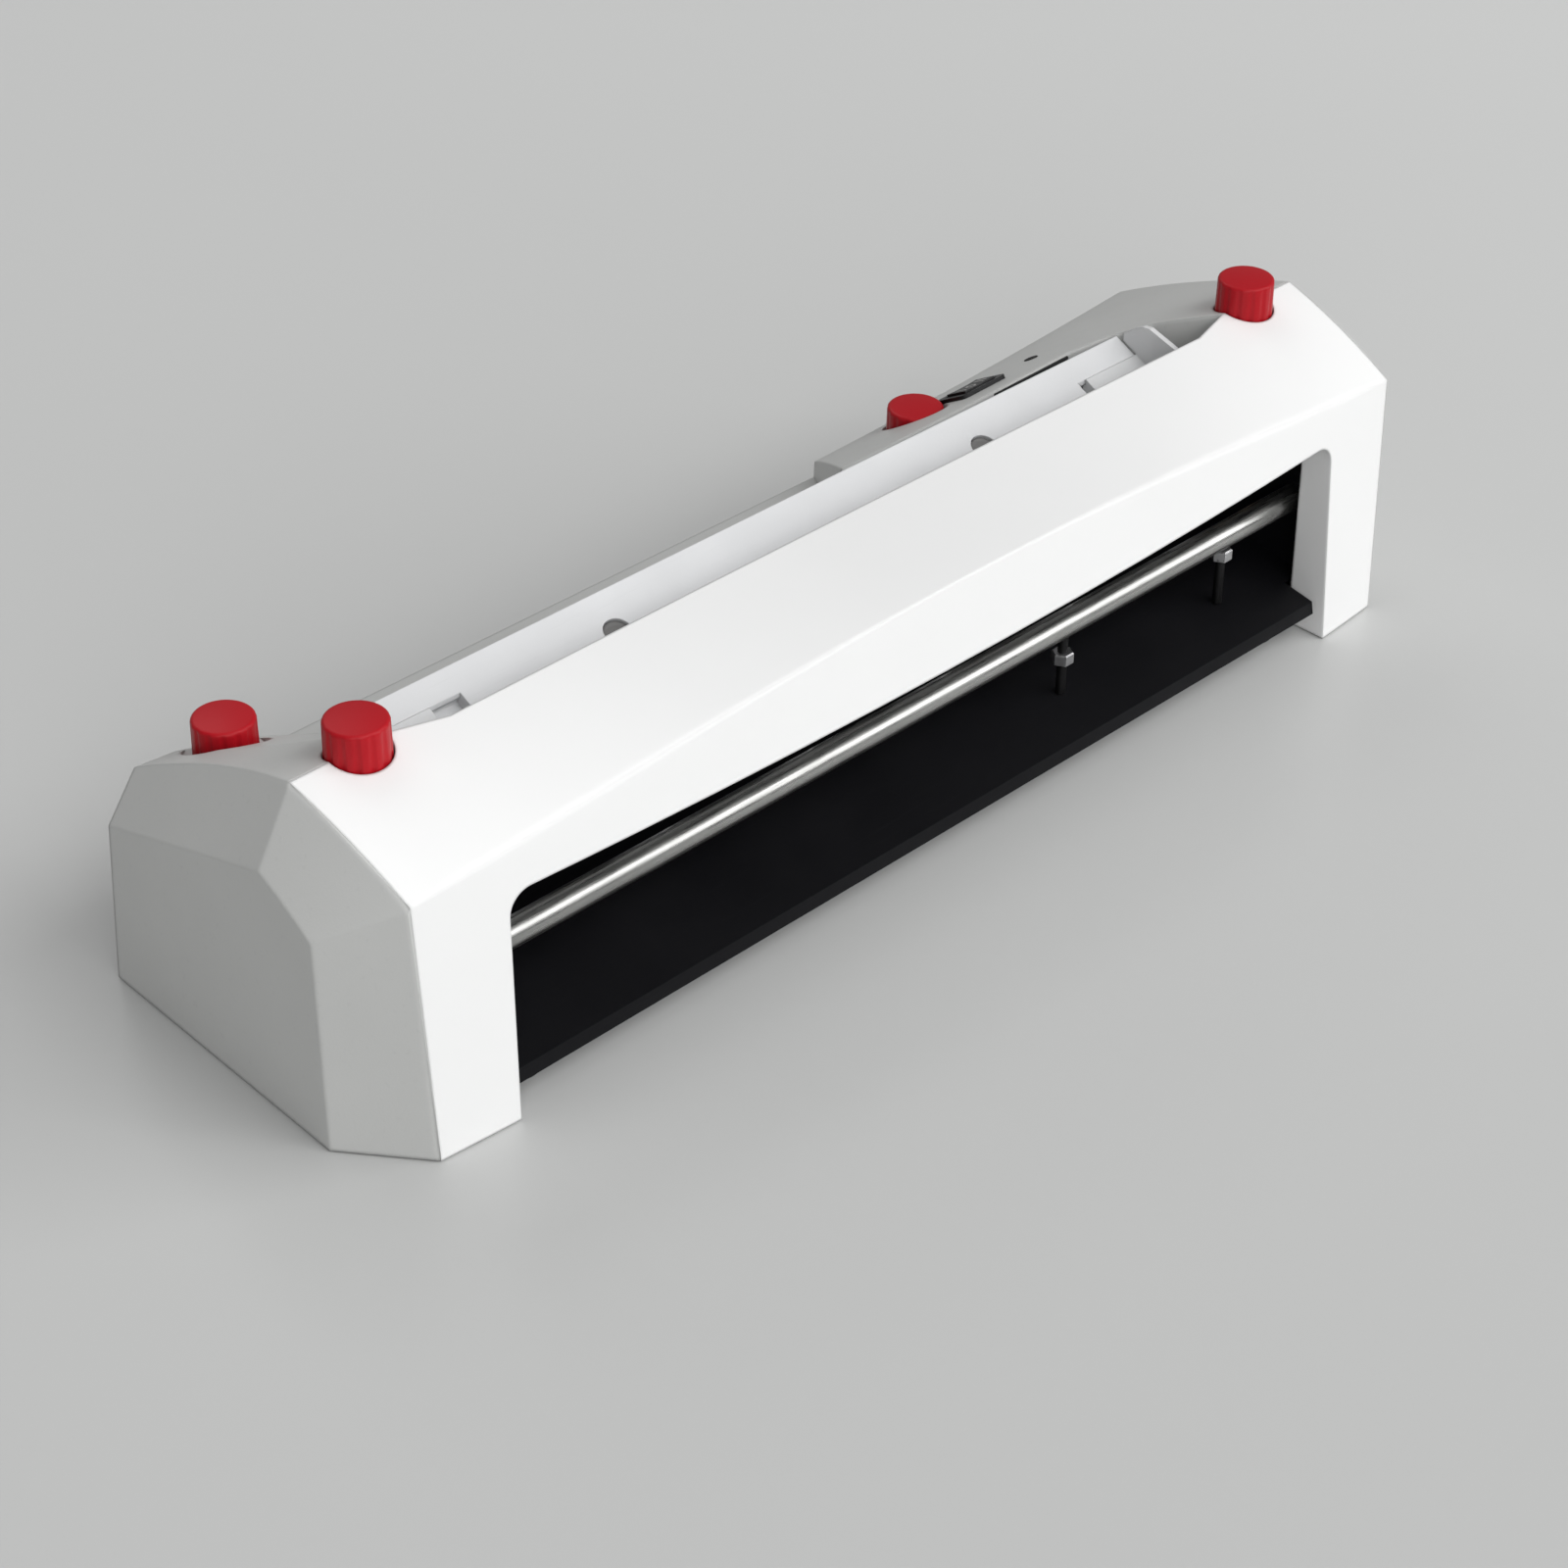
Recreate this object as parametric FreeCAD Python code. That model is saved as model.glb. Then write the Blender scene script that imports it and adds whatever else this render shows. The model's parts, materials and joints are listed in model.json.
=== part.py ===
import FreeCAD, Part
import math
import os

# Electric desk-top business card cutter.
# X runs along the machine, -Y is the front where the cards come out, +Z is up.
# The origin lies at the middle of the footprint, on the surface that the machine stands on.
# All sizes are in millimetres.

Vec = FreeCAD.Vector

# ---- sheets and walls ---------------------------------------------------------------------
CASING_WALL = 2.5
CASING_LIFT = 0.5            # gap under the covers, from the standing surface
BASE_LOW_Z = 6.0
BASE_SHEET = 2.0
BASE_GAP = 0.3
FRAME_SHEET = 3.0
BRIDGE_SHEET = 2.0
PLATE_SHEET = 1.5
CHUTE_SHEET = 1.2

# ---- gears --------------------------------------------------------------------------------
MODULE = 1.0
GEAR_WIDE = 5.0
GEAR_BACKLASH = 0.24
PRESSURE_ANGLE = math.radians(20.0)
PAIR_TEETH = 20
DRIVE_TEETH = 40
PINION_TEETH = 16
PAIR_GEAR_OUT = 7.6          # from the middle of a side frame to the middle of a gear
DRIVE_GEAR_OUT = 13.5
LEFT_GEAR_OUT = 13.0
SHAFT_END = 1.5
IDLER_PIN_RADIUS = 2.5
IDLER_SHOULDER = 1.5
IDLER_SIDE_GAP = 0.3
IDLER_DISC = 1.2

# ---- shafts, rollers and blades -----------------------------------------------------------
SHAFT_RADIUS = 4.0
SHAFT_RUN = 0.05
BLADE_LAP = 2.6              # the two blades of a pair overlap this far
BLADE_BASE_GAP = 1.7
BLADE_THICK = 2.4
BLADE_SIDE_GAP = 0.2
BLADE_HUB_RADIUS = 7.0
BLADE_HUB_LONG = 6.0
ROLLER_GAP = 0.2             # between the rubber rings of one pair
ROLLER_WIDE = 16.0
CARD_SHORT = 54.0
CARD_LONG = 90.0
CARD_ROW = 5
BUSH_RADIUS = 6.0
BUSH_FLANGE_RADIUS = 8.0
BUSH_FLANGE = 1.5
BUSH_PROUD = 1.0
BLOCK_HALF_HIGH = 5.5
BLOCK_WIDE = 8.0
BLOCK_CHEEK = 3.3
BLOCK_RUN = 0.1
FRAME_SLOT = 12.0
SHAFT_APART = 52.4           # from the front shafts back to the rear shafts
SHAFT_STEP = 20.0            # from the rear shafts up to the front shafts

# ---- pressure adjusters -------------------------------------------------------------------
KNOB_RADIUS = 8.7
KNOB_DRAFT = 0.2             # a knob is this much slimmer at its top
KNOB_HIGH = 12.4
KNOB_FLUTES = 14
KNOB_FLUTE_RADIUS = 2.2
KNOB_FLUTE_DEPTH = 0.4
KNOB_RIM = 1.0
KNOB_CROWN = 0.4
KNOB_CAP = 3.5               # solid top of a knob, above the end of its screw
FRONT_KNOB_STAND = 9.1       # top of a front knob above the ridge
LEFT_REAR_KNOB_OUT = 2.7     # this knob stands outside the middle of its frame
LEFT_REAR_KNOB_STAND = 7.6
RIGHT_REAR_KNOB_STAND = 4.1
RECESS_GAP_FRONT = 0.4
RECESS_GAP_LEFT = 3.0
RECESS_GAP_RIGHT = 1.0
RECESS_WALL = 1.3
RECESS_CLEAR = 0.9           # between a knob's underside and the floor of its recess
SCREW_RADIUS = 2.5
SCREW_RUN = 0.06
SCREW_HOLE_GAP = 1.0
SCREW_BLOCK_GAP = 0.5        # between a screw's lower end and the bearing block
COLLAR_RADIUS = 4.0
COLLAR_HIGH = 1.2
COLLAR_RUN = 0.1             # above and below the bridge that a screw turns in
HUB_HIGH = 0.6
NUT_HIGH = 3.0
NUT_GAP = 0.3                # left under the collar when a nut is all the way up
NUT_TRAVEL_FRONT = 2.0
NUT_TRAVEL_REAR = 1.0
NUT_WIDE = 10.0
SPRING_LONG_FRONT = 8.9
SPRING_LONG_REAR = 3.1
DISC_INNER = 3.2             # radii that the cones of a disc spring stack meet at
DISC_OUTER = 4.2
DISC_SHEET = 0.7
DISC_STEP = 1.1
BRIDGE_WIDE = 14.0
BRIDGE_DEEP = 22.0

# ---- heights, stacked up from the base ----------------------------------------------------
BASE_TOP_Z = BASE_LOW_Z + BASE_SHEET
PAIR_HEIGHT = MODULE * PAIR_TEETH                          # from a lower shaft to its upper shaft
BLADE_RADIUS = (PAIR_HEIGHT + BLADE_LAP) / 2
ROLLER_RADIUS = (PAIR_HEIGHT - ROLLER_GAP) / 2
REAR_SHAFT_Z = BASE_TOP_Z + BLADE_BASE_GAP + BLADE_RADIUS
REAR_UPPER_Z = REAR_SHAFT_Z + PAIR_HEIGHT
FRONT_SHAFT_Z = REAR_SHAFT_Z + SHAFT_STEP
FRONT_UPPER_Z = FRONT_SHAFT_Z + PAIR_HEIGHT
NUT_STACK = BLOCK_HALF_HIGH + NUT_HIGH + NUT_GAP + COLLAR_HIGH + COLLAR_RUN
FRONT_BRIDGE_Z = FRONT_UPPER_Z + NUT_STACK + SPRING_LONG_FRONT + NUT_TRAVEL_FRONT
REAR_BRIDGE_Z = REAR_UPPER_Z + NUT_STACK + SPRING_LONG_REAR + NUT_TRAVEL_REAR
RIDGE_Z = FRONT_BRIDGE_Z + 13.0
CREASE_MID_Z = RIDGE_Z - 0.7         # middle of the arched crease between front face and top slope
CREASE_END_Z = RIDGE_Z - 17.1
SHOULDER_TOP_Z = RIDGE_Z - 20.0
SHOULDER_FRONT_Z = RIDGE_Z - 31.4    # the corner between chamfer, side and upper facet
REAR_MID_Z = REAR_BRIDGE_Z + 3.3     # rear top edge in the middle
REAR_END_Z = REAR_MID_Z + 8.4        # rear top edge at the ends
DECK_REAR_Z = REAR_BRIDGE_Z - 1.7
DECK_FRONT_Z = DECK_REAR_Z + 8.5
OPENING_TOP_Z = RIDGE_Z - 26.5
SKIRT_Z = RIDGE_Z - 26.0             # the walls around the trough end here
SHELF_TOP_Z = RIDGE_Z - 23.0
PLATE_TOP_Z = RIDGE_Z - 10.6
PLATE_LIP_Z = FRONT_SHAFT_Z + 11.0
PLATE_BACK_Z = DECK_REAR_Z - 0.5
GUIDE_TOP_Z = RIDGE_Z - 4.0
GUIDE_LOW_Z = SHELF_TOP_Z + 1.2
MOTOR_Z = FRONT_SHAFT_Z - 11.0
ROD_Z = FRONT_SHAFT_Z - 1.0
REAR_EXIT_LOW_Z = REAR_SHAFT_Z - 8.0
REAR_EXIT_HIGH_Z = REAR_UPPER_Z
BOSS_TOP_Z = BASE_TOP_Z + 16.0
SOCKET_Z = BASE_TOP_Z + 18.0
BOARD_TOP_Z = BASE_TOP_Z + 26.0
CHUTE_LIP_Z = 13.2

# ---- places from front to rear, counted from the ridge ------------------------------------
RIDGE_Y = -9.5
FRONT_SHAFT_Y = RIDGE_Y + 0.1
REAR_SHAFT_Y = FRONT_SHAFT_Y + SHAFT_APART
FRONT_CORNER_Y = FRONT_SHAFT_Y - 45.5
SIDE_CORNER_Y = FRONT_CORNER_Y + 22.5
CREASE_END_Y = FRONT_CORNER_Y + 3.9
OPENING_FLANGE_BACK_Y = FRONT_CORNER_Y + 11.9
CHUTE_LIP_Y = FRONT_CORNER_Y + 1.9
CHUTE_BACK_Y = FRONT_SHAFT_Y + 11.4
ROD_RADIUS = 4.0
ROD_Y = FRONT_SHAFT_Y - 26.6
FRAME_FRONT_Y = ROD_Y - ROD_RADIUS
TROUGH_FRONT_Y = RIDGE_Y - 4.0
SHELF_FRONT_Y = TROUGH_FRONT_Y + 1.0
GUIDE_FRONT_Y = TROUGH_FRONT_Y + 1.5
PLATE_BEND_Y = FRONT_SHAFT_Y + 8.4
PLATE_TOP_Y = RIDGE_Y + 25.9
PLATE_BACK_Y = PLATE_TOP_Y + 5.1
PLATE_HOLE_Y = PLATE_TOP_Y - 11.8
GUIDE_SLOT_BACK_Y = PLATE_TOP_Y - 7.4
GUIDE_SLOT_FRONT_Y = PLATE_TOP_Y - 14.1
GUIDE_BACK_Y = PLATE_TOP_Y - 2.4
HOUSING_FRONT_Y = PLATE_TOP_Y + 7.1
HOUSING_BEND_Y = HOUSING_FRONT_Y - 5.0
HOUSING_STEP_Y = HOUSING_BEND_Y - 9.5
SHELF_BACK_Y = HOUSING_BEND_Y - 0.5
DECK_FRONT_Y = HOUSING_FRONT_Y + 3.5
REAR_Y = REAR_SHAFT_Y + 19.3
REAR_TOP_Y = REAR_Y - 5.9
FRAME_REAR_Y = REAR_Y - 7.7
MID_FRAME_FRONT_Y = REAR_SHAFT_Y - 13.0
MOTOR_Y = REAR_SHAFT_Y - 7.0
SWITCH_Y = REAR_SHAFT_Y - 6.0
HOUSING_HOLE_Y = REAR_SHAFT_Y - 5.1
BOARD_Y = 9.0
FOOT_Y = 38.0

# ---- places along the machine -------------------------------------------------------------
SIDE_HALF = 205.9                    # half length at the front end of the side faces
FRONT_HALF = SIDE_HALF - 17.5        # at the front bottom corners
REAR_HALF = SIDE_HALF - 4.0          # at the rear bottom corners
PEAK_HALF = SIDE_HALF - 13.6         # at the ends of the ridge
CREASE_HALF = SIDE_HALF - 15.9       # at the ends of the arched crease
FRAME_X = SIDE_HALF - 34.9           # middle of the two side frames
FRAME_INNER_X = FRAME_X - FRAME_SHEET / 2
TROUGH_KNOB_WALL = 1.4
TROUGH_HALF = FRAME_X - KNOB_RADIUS - RECESS_GAP_FRONT - TROUGH_KNOB_WALL
TROUGH_STEP_HALF = TROUGH_HALF - 15.5    # the trough's front edge steps back to the ridge from here
LEFT_REAR_KNOB_X = -FRAME_X - LEFT_REAR_KNOB_OUT
POD_EDGE_REAR_X = LEFT_REAR_KNOB_X - 6.3     # inner edge of the left pod's top at the rear
OPENING_HALF_BOTTOM = FRAME_X - 7.4
OPENING_HALF_TOP = OPENING_HALF_BOTTOM - 2.0
CHUTE_HALF = OPENING_HALF_TOP - 0.6
MOTOR_LONG = 52.0
SOCKET_LONG = 30.0
SOCKET_MOTOR_GAP = 1.0
SOCKET_FRAME_GAP = 3.0
SOCKET_X = FRAME_INNER_X - MOTOR_LONG - SOCKET_MOTOR_GAP - SOCKET_LONG / 2
MID_FRAME_X = SOCKET_X - SOCKET_LONG / 2 - SOCKET_FRAME_GAP
REAR_PATH_X = (MID_FRAME_X - FRAME_X) / 2    # middle of the rear paper path
SWITCH_X = MID_FRAME_X + 18.5
HOUSING_LEFT_FRONT_X = MID_FRAME_X - 51.8
HOUSING_LEFT_REAR_X = MID_FRAME_X - 29.0
HOUSING_CORNER_X = TROUGH_HALF - 30.5
HOUSING_BEND_X = TROUGH_HALF - 18.0
HOUSING_STEP_X = TROUGH_HALF - 8.5
HOUSING_HOLE_X = HOUSING_CORNER_X - 0.6
REAR_COVER_RIGHT_X = MID_FRAME_X - 13.5
REAR_EXIT_RIGHT_X = REAR_COVER_RIGHT_X - 8.0
DECK_LEFT_X = 2.5 - TROUGH_HALF
REAR_EXIT_LEFT_X = DECK_LEFT_X + 3.0
PLATE_LEFT_X = 3.0 - TROUGH_HALF
PLATE_RIGHT_X = TROUGH_HALF - 17.3
PLATE_FLANGE_X = HOUSING_CORNER_X    # the rear flange ends here, clear of the housing
SHELF_INNER_X = PLATE_RIGHT_X + 2.3
LEFT_SLOT_X = PLATE_LEFT_X + 34.0
RIGHT_SLOT_X = PLATE_RIGHT_X - 25.9
LEFT_GUIDE_X = PLATE_LEFT_X + 0.5    # paper side of the left guide's wall
RIGHT_GUIDE_X = PLATE_RIGHT_X + 0.4
PAIR_GEAR_X = FRAME_X + PAIR_GEAR_OUT
DRIVE_GEAR_X = FRAME_X + DRIVE_GEAR_OUT
LEFT_GEAR_X = -FRAME_X - LEFT_GEAR_OUT
FOOT_X = SIDE_HALF - 55.9
BOARD_LONG = 62.0
BOARD_X1 = FRAME_INNER_X - 11.5
BOARD_X0 = BOARD_X1 - BOARD_LONG
PLATE_HOLE_X = 72.0
POST_X = (64.0, 135.5)

# ---- casing: outer form -------------------------------------------------------------------
FRONT_BOW = 7.4              # the front face bulges this far in the middle
FRONT_LEAN = 0.05            # set-back per unit of height
REAR_LEAN = 0.088
CHAMFER_TWIST = 0.7          # the corner facet passes this far outside the crease's end
FACET_BOW = 1.35             # bulge of the upper front facet between ridge and crease
FRONT_ARCH = 0.09            # bulge of the top slope, as a share of its fall
REAR_ARCH = 2.4              # how far the rear slope bulges above its chord
TROUGH_LIP = 1.8
TROUGH_LIP_HIGH = 7.0
HOLLOW_REACH = 40.0          # how far the end covers' hollow runs on in front of the ridge
OPENING_RADIUS = 7.0
OPENING_FLANGE = 2.2
POD_SKIRT_SLOPE = 0.27       # fall per unit of length of the facet beside the left pod
DECK_WALL = 2.2
DECK_LIP_RADIUS = 2.0
HOUSING_HOLE_RADIUS = 1.8
BOSS_RADIUS = 4.0
BOSS_WEB_HALF = 1.0
BOSS_WEB_LONG = 12.0         # webs of the front and rear cover's bosses, out to their wall
BOSS_WEB_SIDE_LONG = 16.0    # webs of the end covers' bosses
BOSS_IN_SIDE = 12.0          # boss axes inside the half length, front corners and rear wall
BOSS_IN_FRONT = 8.0
BOSS_IN_REAR = 12.0
BOSS_IN_DECK = 9.0
BOSS_IN_DECK_LEFT = 7.0
BOSS_IN_DECK_RIGHT = 6.0
CASE_SCREW_RADIUS = 1.4
CASE_SCREW_HEAD = 2.8
CASE_SCREW_HEAD_HIGH = 2.0
CASE_SCREW_RUN = 0.1
CROSS_HALF = 1.8
CROSS_SLOT = 0.35
FRONT_FACE_Y = FRONT_CORNER_Y - FRONT_BOW + FRONT_LEAN * OPENING_TOP_Z
ORIGIN_Y = (FRONT_FACE_Y + REAR_Y - REAR_LEAN * CASING_LIFT) / 2     # middle of the footprint

# ---- motor, feed plate and guides ---------------------------------------------------------
MOTOR_RADIUS = 18.0
MOTOR_SHAFT_RADIUS = 3.0
MOTOR_SHAFT_GAP = 1.5
GEARBOX_LONG = 12.0
PLATE_SLOPE = 0.5
PLATE_ROLLER_GAP = 1.2
PLATE_HOLE_RADIUS = 4.4
GUIDE_RAIL = 1.0             # wall of the channel under each slot
GUIDE_RAIL_DEPTH = 2.6
GUIDE_FOOT = 23.0
GUIDE_WALL = 1.8
GUIDE_FOOT_PROUD = 0.4
GUIDE_RUN = 0.3
GUIDE_KEEPER = 0.9           # overlap of the keeper under the plate, on each side of the slot
PLATE_RISE = PLATE_SHEET * math.hypot(1, PLATE_SLOPE)      # the sheet's thickness, measured upright

# ---- small parts --------------------------------------------------------------------------
CHUTE_SLOPE = 0.18
CHUTE_LIP_FALL = 4.0
POST_RADIUS = 1.5
POST_NUT_RADIUS = 3.2        # to the corners of the hexagon
POST_NUT_Z = (27.0, 32.0)
POST_NUT_HIGH = 3.5
SWITCH_LONG = 17.0
SWITCH_DEEP = 11.0
BEZEL_LIP = 1.0
BEZEL_RUN = 0.2
BEZEL_WALL = 0.9
BEZEL_THICK = 1.2
BEZEL_CASE_DEEP = 14.0
BEZEL_POCKET_DEEP = 7.0
ROCKER_PROUD = 0.3           # top of the rocker above its bezel, in its middle
ROCKER_WING_PROUD = 0.6      # at its ends
ROCKER_END_GAP = 1.0
ROCKER_SIDE_GAP = 0.25
ROCKER_PIVOT_Z = -0.6        # above the housing, square to its slope
ROCKER_PIN_RADIUS = 0.7
ROCKER_PIN_RUN = 0.05
SOCKET_TALL = 20.0
SOCKET_DEEP = 11.5
SOCKET_PROUD = 2.0
SOCKET_RUN = 0.3
FOOT_RADIUS = 8.0
FOOT_DOME = 1.0
BOARD_SHEET = 1.6
EXIT_GUIDE_TOP = 8.0
FAR = 260.0
HIGH = 160.0

# ---- idler gears, the smallest that bridge the distance between their neighbours ------------
LEFT_IDLER_TEETH = math.floor((math.hypot(SHAFT_APART, SHAFT_STEP) / MODULE - PAIR_TEETH) / 2) + 1
MOTOR_REACH = math.hypot(MOTOR_Y - FRONT_SHAFT_Y, MOTOR_Z - FRONT_SHAFT_Z) / MODULE
MOTOR_IDLER_TEETH = math.floor(MOTOR_REACH - (DRIVE_TEETH + PINION_TEETH) / 2) + 2


# ---- plain shapes -------------------------------------------------------------------------
def block(x0, x1, y0, y1, z0, z1):
    return Part.makeBox(x1 - x0, y1 - y0, z1 - z0, Vec(x0, y0, z0))


def round_x(x0, x1, y, z, radius):
    return Part.makeCylinder(radius, x1 - x0, Vec(x0, y, z), Vec(1, 0, 0))


def round_y(x, y0, y1, z, radius):
    return Part.makeCylinder(radius, y1 - y0, Vec(x, y0, z), Vec(0, 1, 0))


def round_z(x, y, z0, z1, radius):
    return Part.makeCylinder(radius, z1 - z0, Vec(x, y, z0), Vec(0, 0, 1))


def joined(shapes):
    whole = shapes[0]
    if len(shapes) > 1:
        whole = whole.fuse(shapes[1:])
    return whole.removeSplitter()


def group(shapes):
    return Part.makeCompound(shapes)


def plan_prism(points, z0, z1):
    corners = [Vec(x, y, z0) for x, y in points]
    face = Part.Face(Part.makePolygon(corners + corners[:1]))
    return face.extrude(Vec(0, 0, z1 - z0))


def section_prism(points, x0, x1):
    """Extrudes an outline of (y, z) points along X."""
    corners = [Vec(x0, y, z) for y, z in points]
    face = Part.Face(Part.makePolygon(corners + corners[:1]))
    return face.extrude(Vec(x1 - x0, 0, 0))


def folded_sheet(points, sheet, x0, x1):
    """A folded sheet: the outline follows the (y, z) points and is one sheet thick below them."""
    lower = []
    for i, (y, z) in enumerate(points):
        before = points[max(i - 1, 0)]
        after = points[min(i + 1, len(points) - 1)]
        first = math.atan2(z - before[1], y - before[0]) if i > 0 else None
        last = math.atan2(after[1] - z, after[0] - y) if i < len(points) - 1 else None
        if first is None:
            first = last
        if last is None:
            last = first
        turn = (last - first + math.pi) % (2 * math.pi) - math.pi
        middle = first + turn / 2
        reach = sheet / math.cos(turn / 2)
        lower.append((y + math.sin(middle) * reach, z - math.cos(middle) * reach))
    return section_prism(points + lower[::-1], x0, x1)


def mirrored(point):
    return Vec(-point.x, point.y, point.z)


def outward_normal(points):
    first, second, third = points
    normal = (second - first).cross(third - first)
    normal.normalize()
    if normal.dot(Vec(0, 0, RIDGE_Z / 3) - first) > 0:
        normal = normal * -1
    return normal


def beyond_plane(points, inset):
    """The block of space outside the plane through three points, moved inwards by inset."""
    first = points[0]
    normal = outward_normal(points)
    size = 3 * FAR
    space = Part.makeBox(size, size, size, Vec(-size / 2, -size / 2, 0))
    turn = FreeCAD.Rotation(Vec(0, 0, 1), normal)
    space.Placement = FreeCAD.Placement(first - normal * inset, turn).multiply(space.Placement)
    return space


def beyond_bowed(points, bow, inset):
    """The space outside a facet that bulges by bow between its first two points."""
    first, second, third = points
    normal = outward_normal(points)
    along = second - first
    half = along.Length / 2
    radius = (half ** 2 + bow ** 2) / (2 * bow)
    across = normal.cross(along)
    across.normalize()
    centre = (first + second) * 0.5 + normal * (bow - radius)
    drum = Part.makeCylinder(radius - inset, 2 * FAR, centre - across * FAR, across)
    return beyond_plane(points, inset + 4 * bow).cut(drum)


# ---- outer form of the casing -------------------------------------------------------------
FRONT_CORNER = Vec(FRONT_HALF, FRONT_CORNER_Y, 0)
SIDE_CORNER = Vec(SIDE_HALF, SIDE_CORNER_Y, 0)
REAR_CORNER = Vec(REAR_HALF, REAR_Y, 0)
CREASE_END = Vec(CREASE_HALF, CREASE_END_Y, CREASE_END_Z)
CHAMFER_TOP = CREASE_END + Vec(CHAMFER_TWIST, 0, 0)
SHOULDER_FRONT = Vec(SIDE_HALF - 0.9, SIDE_CORNER_Y + 0.3, SHOULDER_FRONT_Z)
PEAK = Vec(PEAK_HALF, RIDGE_Y, RIDGE_Z)
SHOULDER_TOP = Vec(
    SIDE_HALF + (REAR_HALF - SIDE_HALF) * (RIDGE_Y - SIDE_CORNER_Y) / (REAR_Y - SIDE_CORNER_Y),
    RIDGE_Y,
    SHOULDER_TOP_Z,
)
REAR_TOP = Vec(PEAK_HALF + 1.0, REAR_TOP_Y, REAR_END_Z)


def end_facets(side):
    """The four flat facets of one end, each as three points."""
    facets = [
        (FRONT_CORNER, SIDE_CORNER, CHAMFER_TOP),
        (SIDE_CORNER, REAR_CORNER, REAR_CORNER + Vec(0, 0, RIDGE_Z)),
        (CREASE_END, PEAK, SHOULDER_FRONT),
        (PEAK, SHOULDER_TOP, REAR_TOP),
    ]
    if side > 0:
        return facets
    return [tuple(mirrored(p) for p in facet) for facet in facets]


def end_parting(side):
    """The plane through the crease corners, where the front cover meets an end cover."""
    points = (FRONT_CORNER, CREASE_END, PEAK)
    if side < 0:
        points = tuple(mirrored(p) for p in points)
    return beyond_plane(points, 0)


def arc_frame(y, middle_z, end_z, end_x, inset):
    """An upright frame at y whose lower edge is an arc through the middle and end heights."""
    fall = middle_z - end_z
    top_right = Vec(FAR, y, HIGH)
    top_left = Vec(-FAR, y, HIGH)
    if abs(fall) < 1e-6:
        right = Vec(FAR, y, middle_z - inset)
        left = Vec(-FAR, y, middle_z - inset)
        lower = Part.LineSegment(left, right).toShape()
    else:
        radius = (end_x ** 2 + fall ** 2) / (2 * abs(fall))
        drop = radius - math.sqrt(radius ** 2 - FAR ** 2)
        far_z = middle_z - math.copysign(drop, fall) - inset
        right = Vec(FAR, y, far_z)
        left = Vec(-FAR, y, far_z)
        lower = Part.Arc(left, Vec(0, y, middle_z - inset), right).toShape()
    lines = [(right, top_right), (top_right, top_left), (top_left, left)]
    edges = [lower] + [Part.LineSegment(a, b).toShape() for a, b in lines]
    return Part.Wire(edges)


def bulging_fall(y, crease_y, crease_z):
    """Height at y on a slightly bulging line that falls from the ridge to the crease."""
    part_way = (RIDGE_Y - y) / (RIDGE_Y - crease_y)
    fall = RIDGE_Z - crease_z
    return RIDGE_Z - fall * part_way + 4 * FRONT_ARCH * fall * part_way * (1 - part_way)


def above_front_slope(inset):
    """Everything above the top slope that runs from the arched crease up to the ridge."""
    crease_middle_y = FRONT_CORNER_Y - FRONT_BOW + FRONT_LEAN * CREASE_MID_Z
    frames = []
    for y in (CREASE_END_Y - 30, (CREASE_END_Y + RIDGE_Y) / 2, RIDGE_Y):
        middle_z = bulging_fall(y, crease_middle_y, CREASE_MID_Z)
        end_z = bulging_fall(y, CREASE_END_Y, CREASE_END_Z)
        frames.append(arc_frame(y, middle_z, end_z, CREASE_HALF, inset))
    return Part.makeLoft(frames, True, False)


def rear_heights(y):
    """Heights of the rear slope at y, in the middle and at the ends."""
    part_way = (y - RIDGE_Y) / (REAR_TOP_Y - RIDGE_Y)
    arch = 4 * REAR_ARCH * part_way * (1 - part_way)
    middle_z = RIDGE_Z - (RIDGE_Z - REAR_MID_Z) * part_way + arch
    end_z = RIDGE_Z - (RIDGE_Z - REAR_END_Z) * part_way + arch
    return middle_z, end_z


def rear_z(x, y):
    middle_z, end_z = rear_heights(y)
    return middle_z + (end_z - middle_z) * (x / PEAK_HALF) ** 2


def above_rear_slope(inset):
    """Everything above the slope behind the ridge, which falls further in the middle."""
    frames = [arc_frame(RIDGE_Y, RIDGE_Z, RIDGE_Z, PEAK_HALF, inset)]
    for y in ((RIDGE_Y + REAR_TOP_Y) / 2, REAR_TOP_Y + 15):
        middle_z, end_z = rear_heights(y)
        frames.append(arc_frame(y, middle_z, end_z, PEAK_HALF, inset))
    return Part.makeLoft(frames, True, False)


def rear_plane():
    return (
        Vec(0, REAR_Y, 0),
        Vec(1, REAR_Y, 0),
        Vec(0, REAR_Y - REAR_LEAN * RIDGE_Z, RIDGE_Z),
    )


def casing_form(inset, low_z):
    """The closed outer form of the casing, each face moved inwards by inset."""
    radius = (FRONT_HALF ** 2 + FRONT_BOW ** 2) / (2 * FRONT_BOW)
    lean = Vec(0, FRONT_LEAN, 1)
    lean.normalize()
    centre = Vec(0, FRONT_CORNER_Y - FRONT_BOW + radius, 0)
    drum = Part.makeCylinder(radius * lean.z - inset, 3 * HIGH, centre - lean * HIGH, lean)
    form = block(-FAR, FAR, -HIGH, HIGH, low_z, HIGH).common(drum)
    cuts = [beyond_plane(rear_plane(), inset)]
    for side in (-1, 1):
        corner, flank, upper, rear = end_facets(side)
        cuts += [beyond_plane(facet, inset) for facet in (corner, flank, rear)]
        cuts.append(beyond_bowed(upper, FACET_BOW, inset))
    cuts.append(above_front_slope(inset * 1.06))
    cuts.append(above_rear_slope(inset * 1.1))
    for cut in cuts:
        form = form.cut(cut)
    return form


OUTER = casing_form(0, CASING_LIFT)
INNER = casing_form(CASING_WALL, -HIGH)


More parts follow.
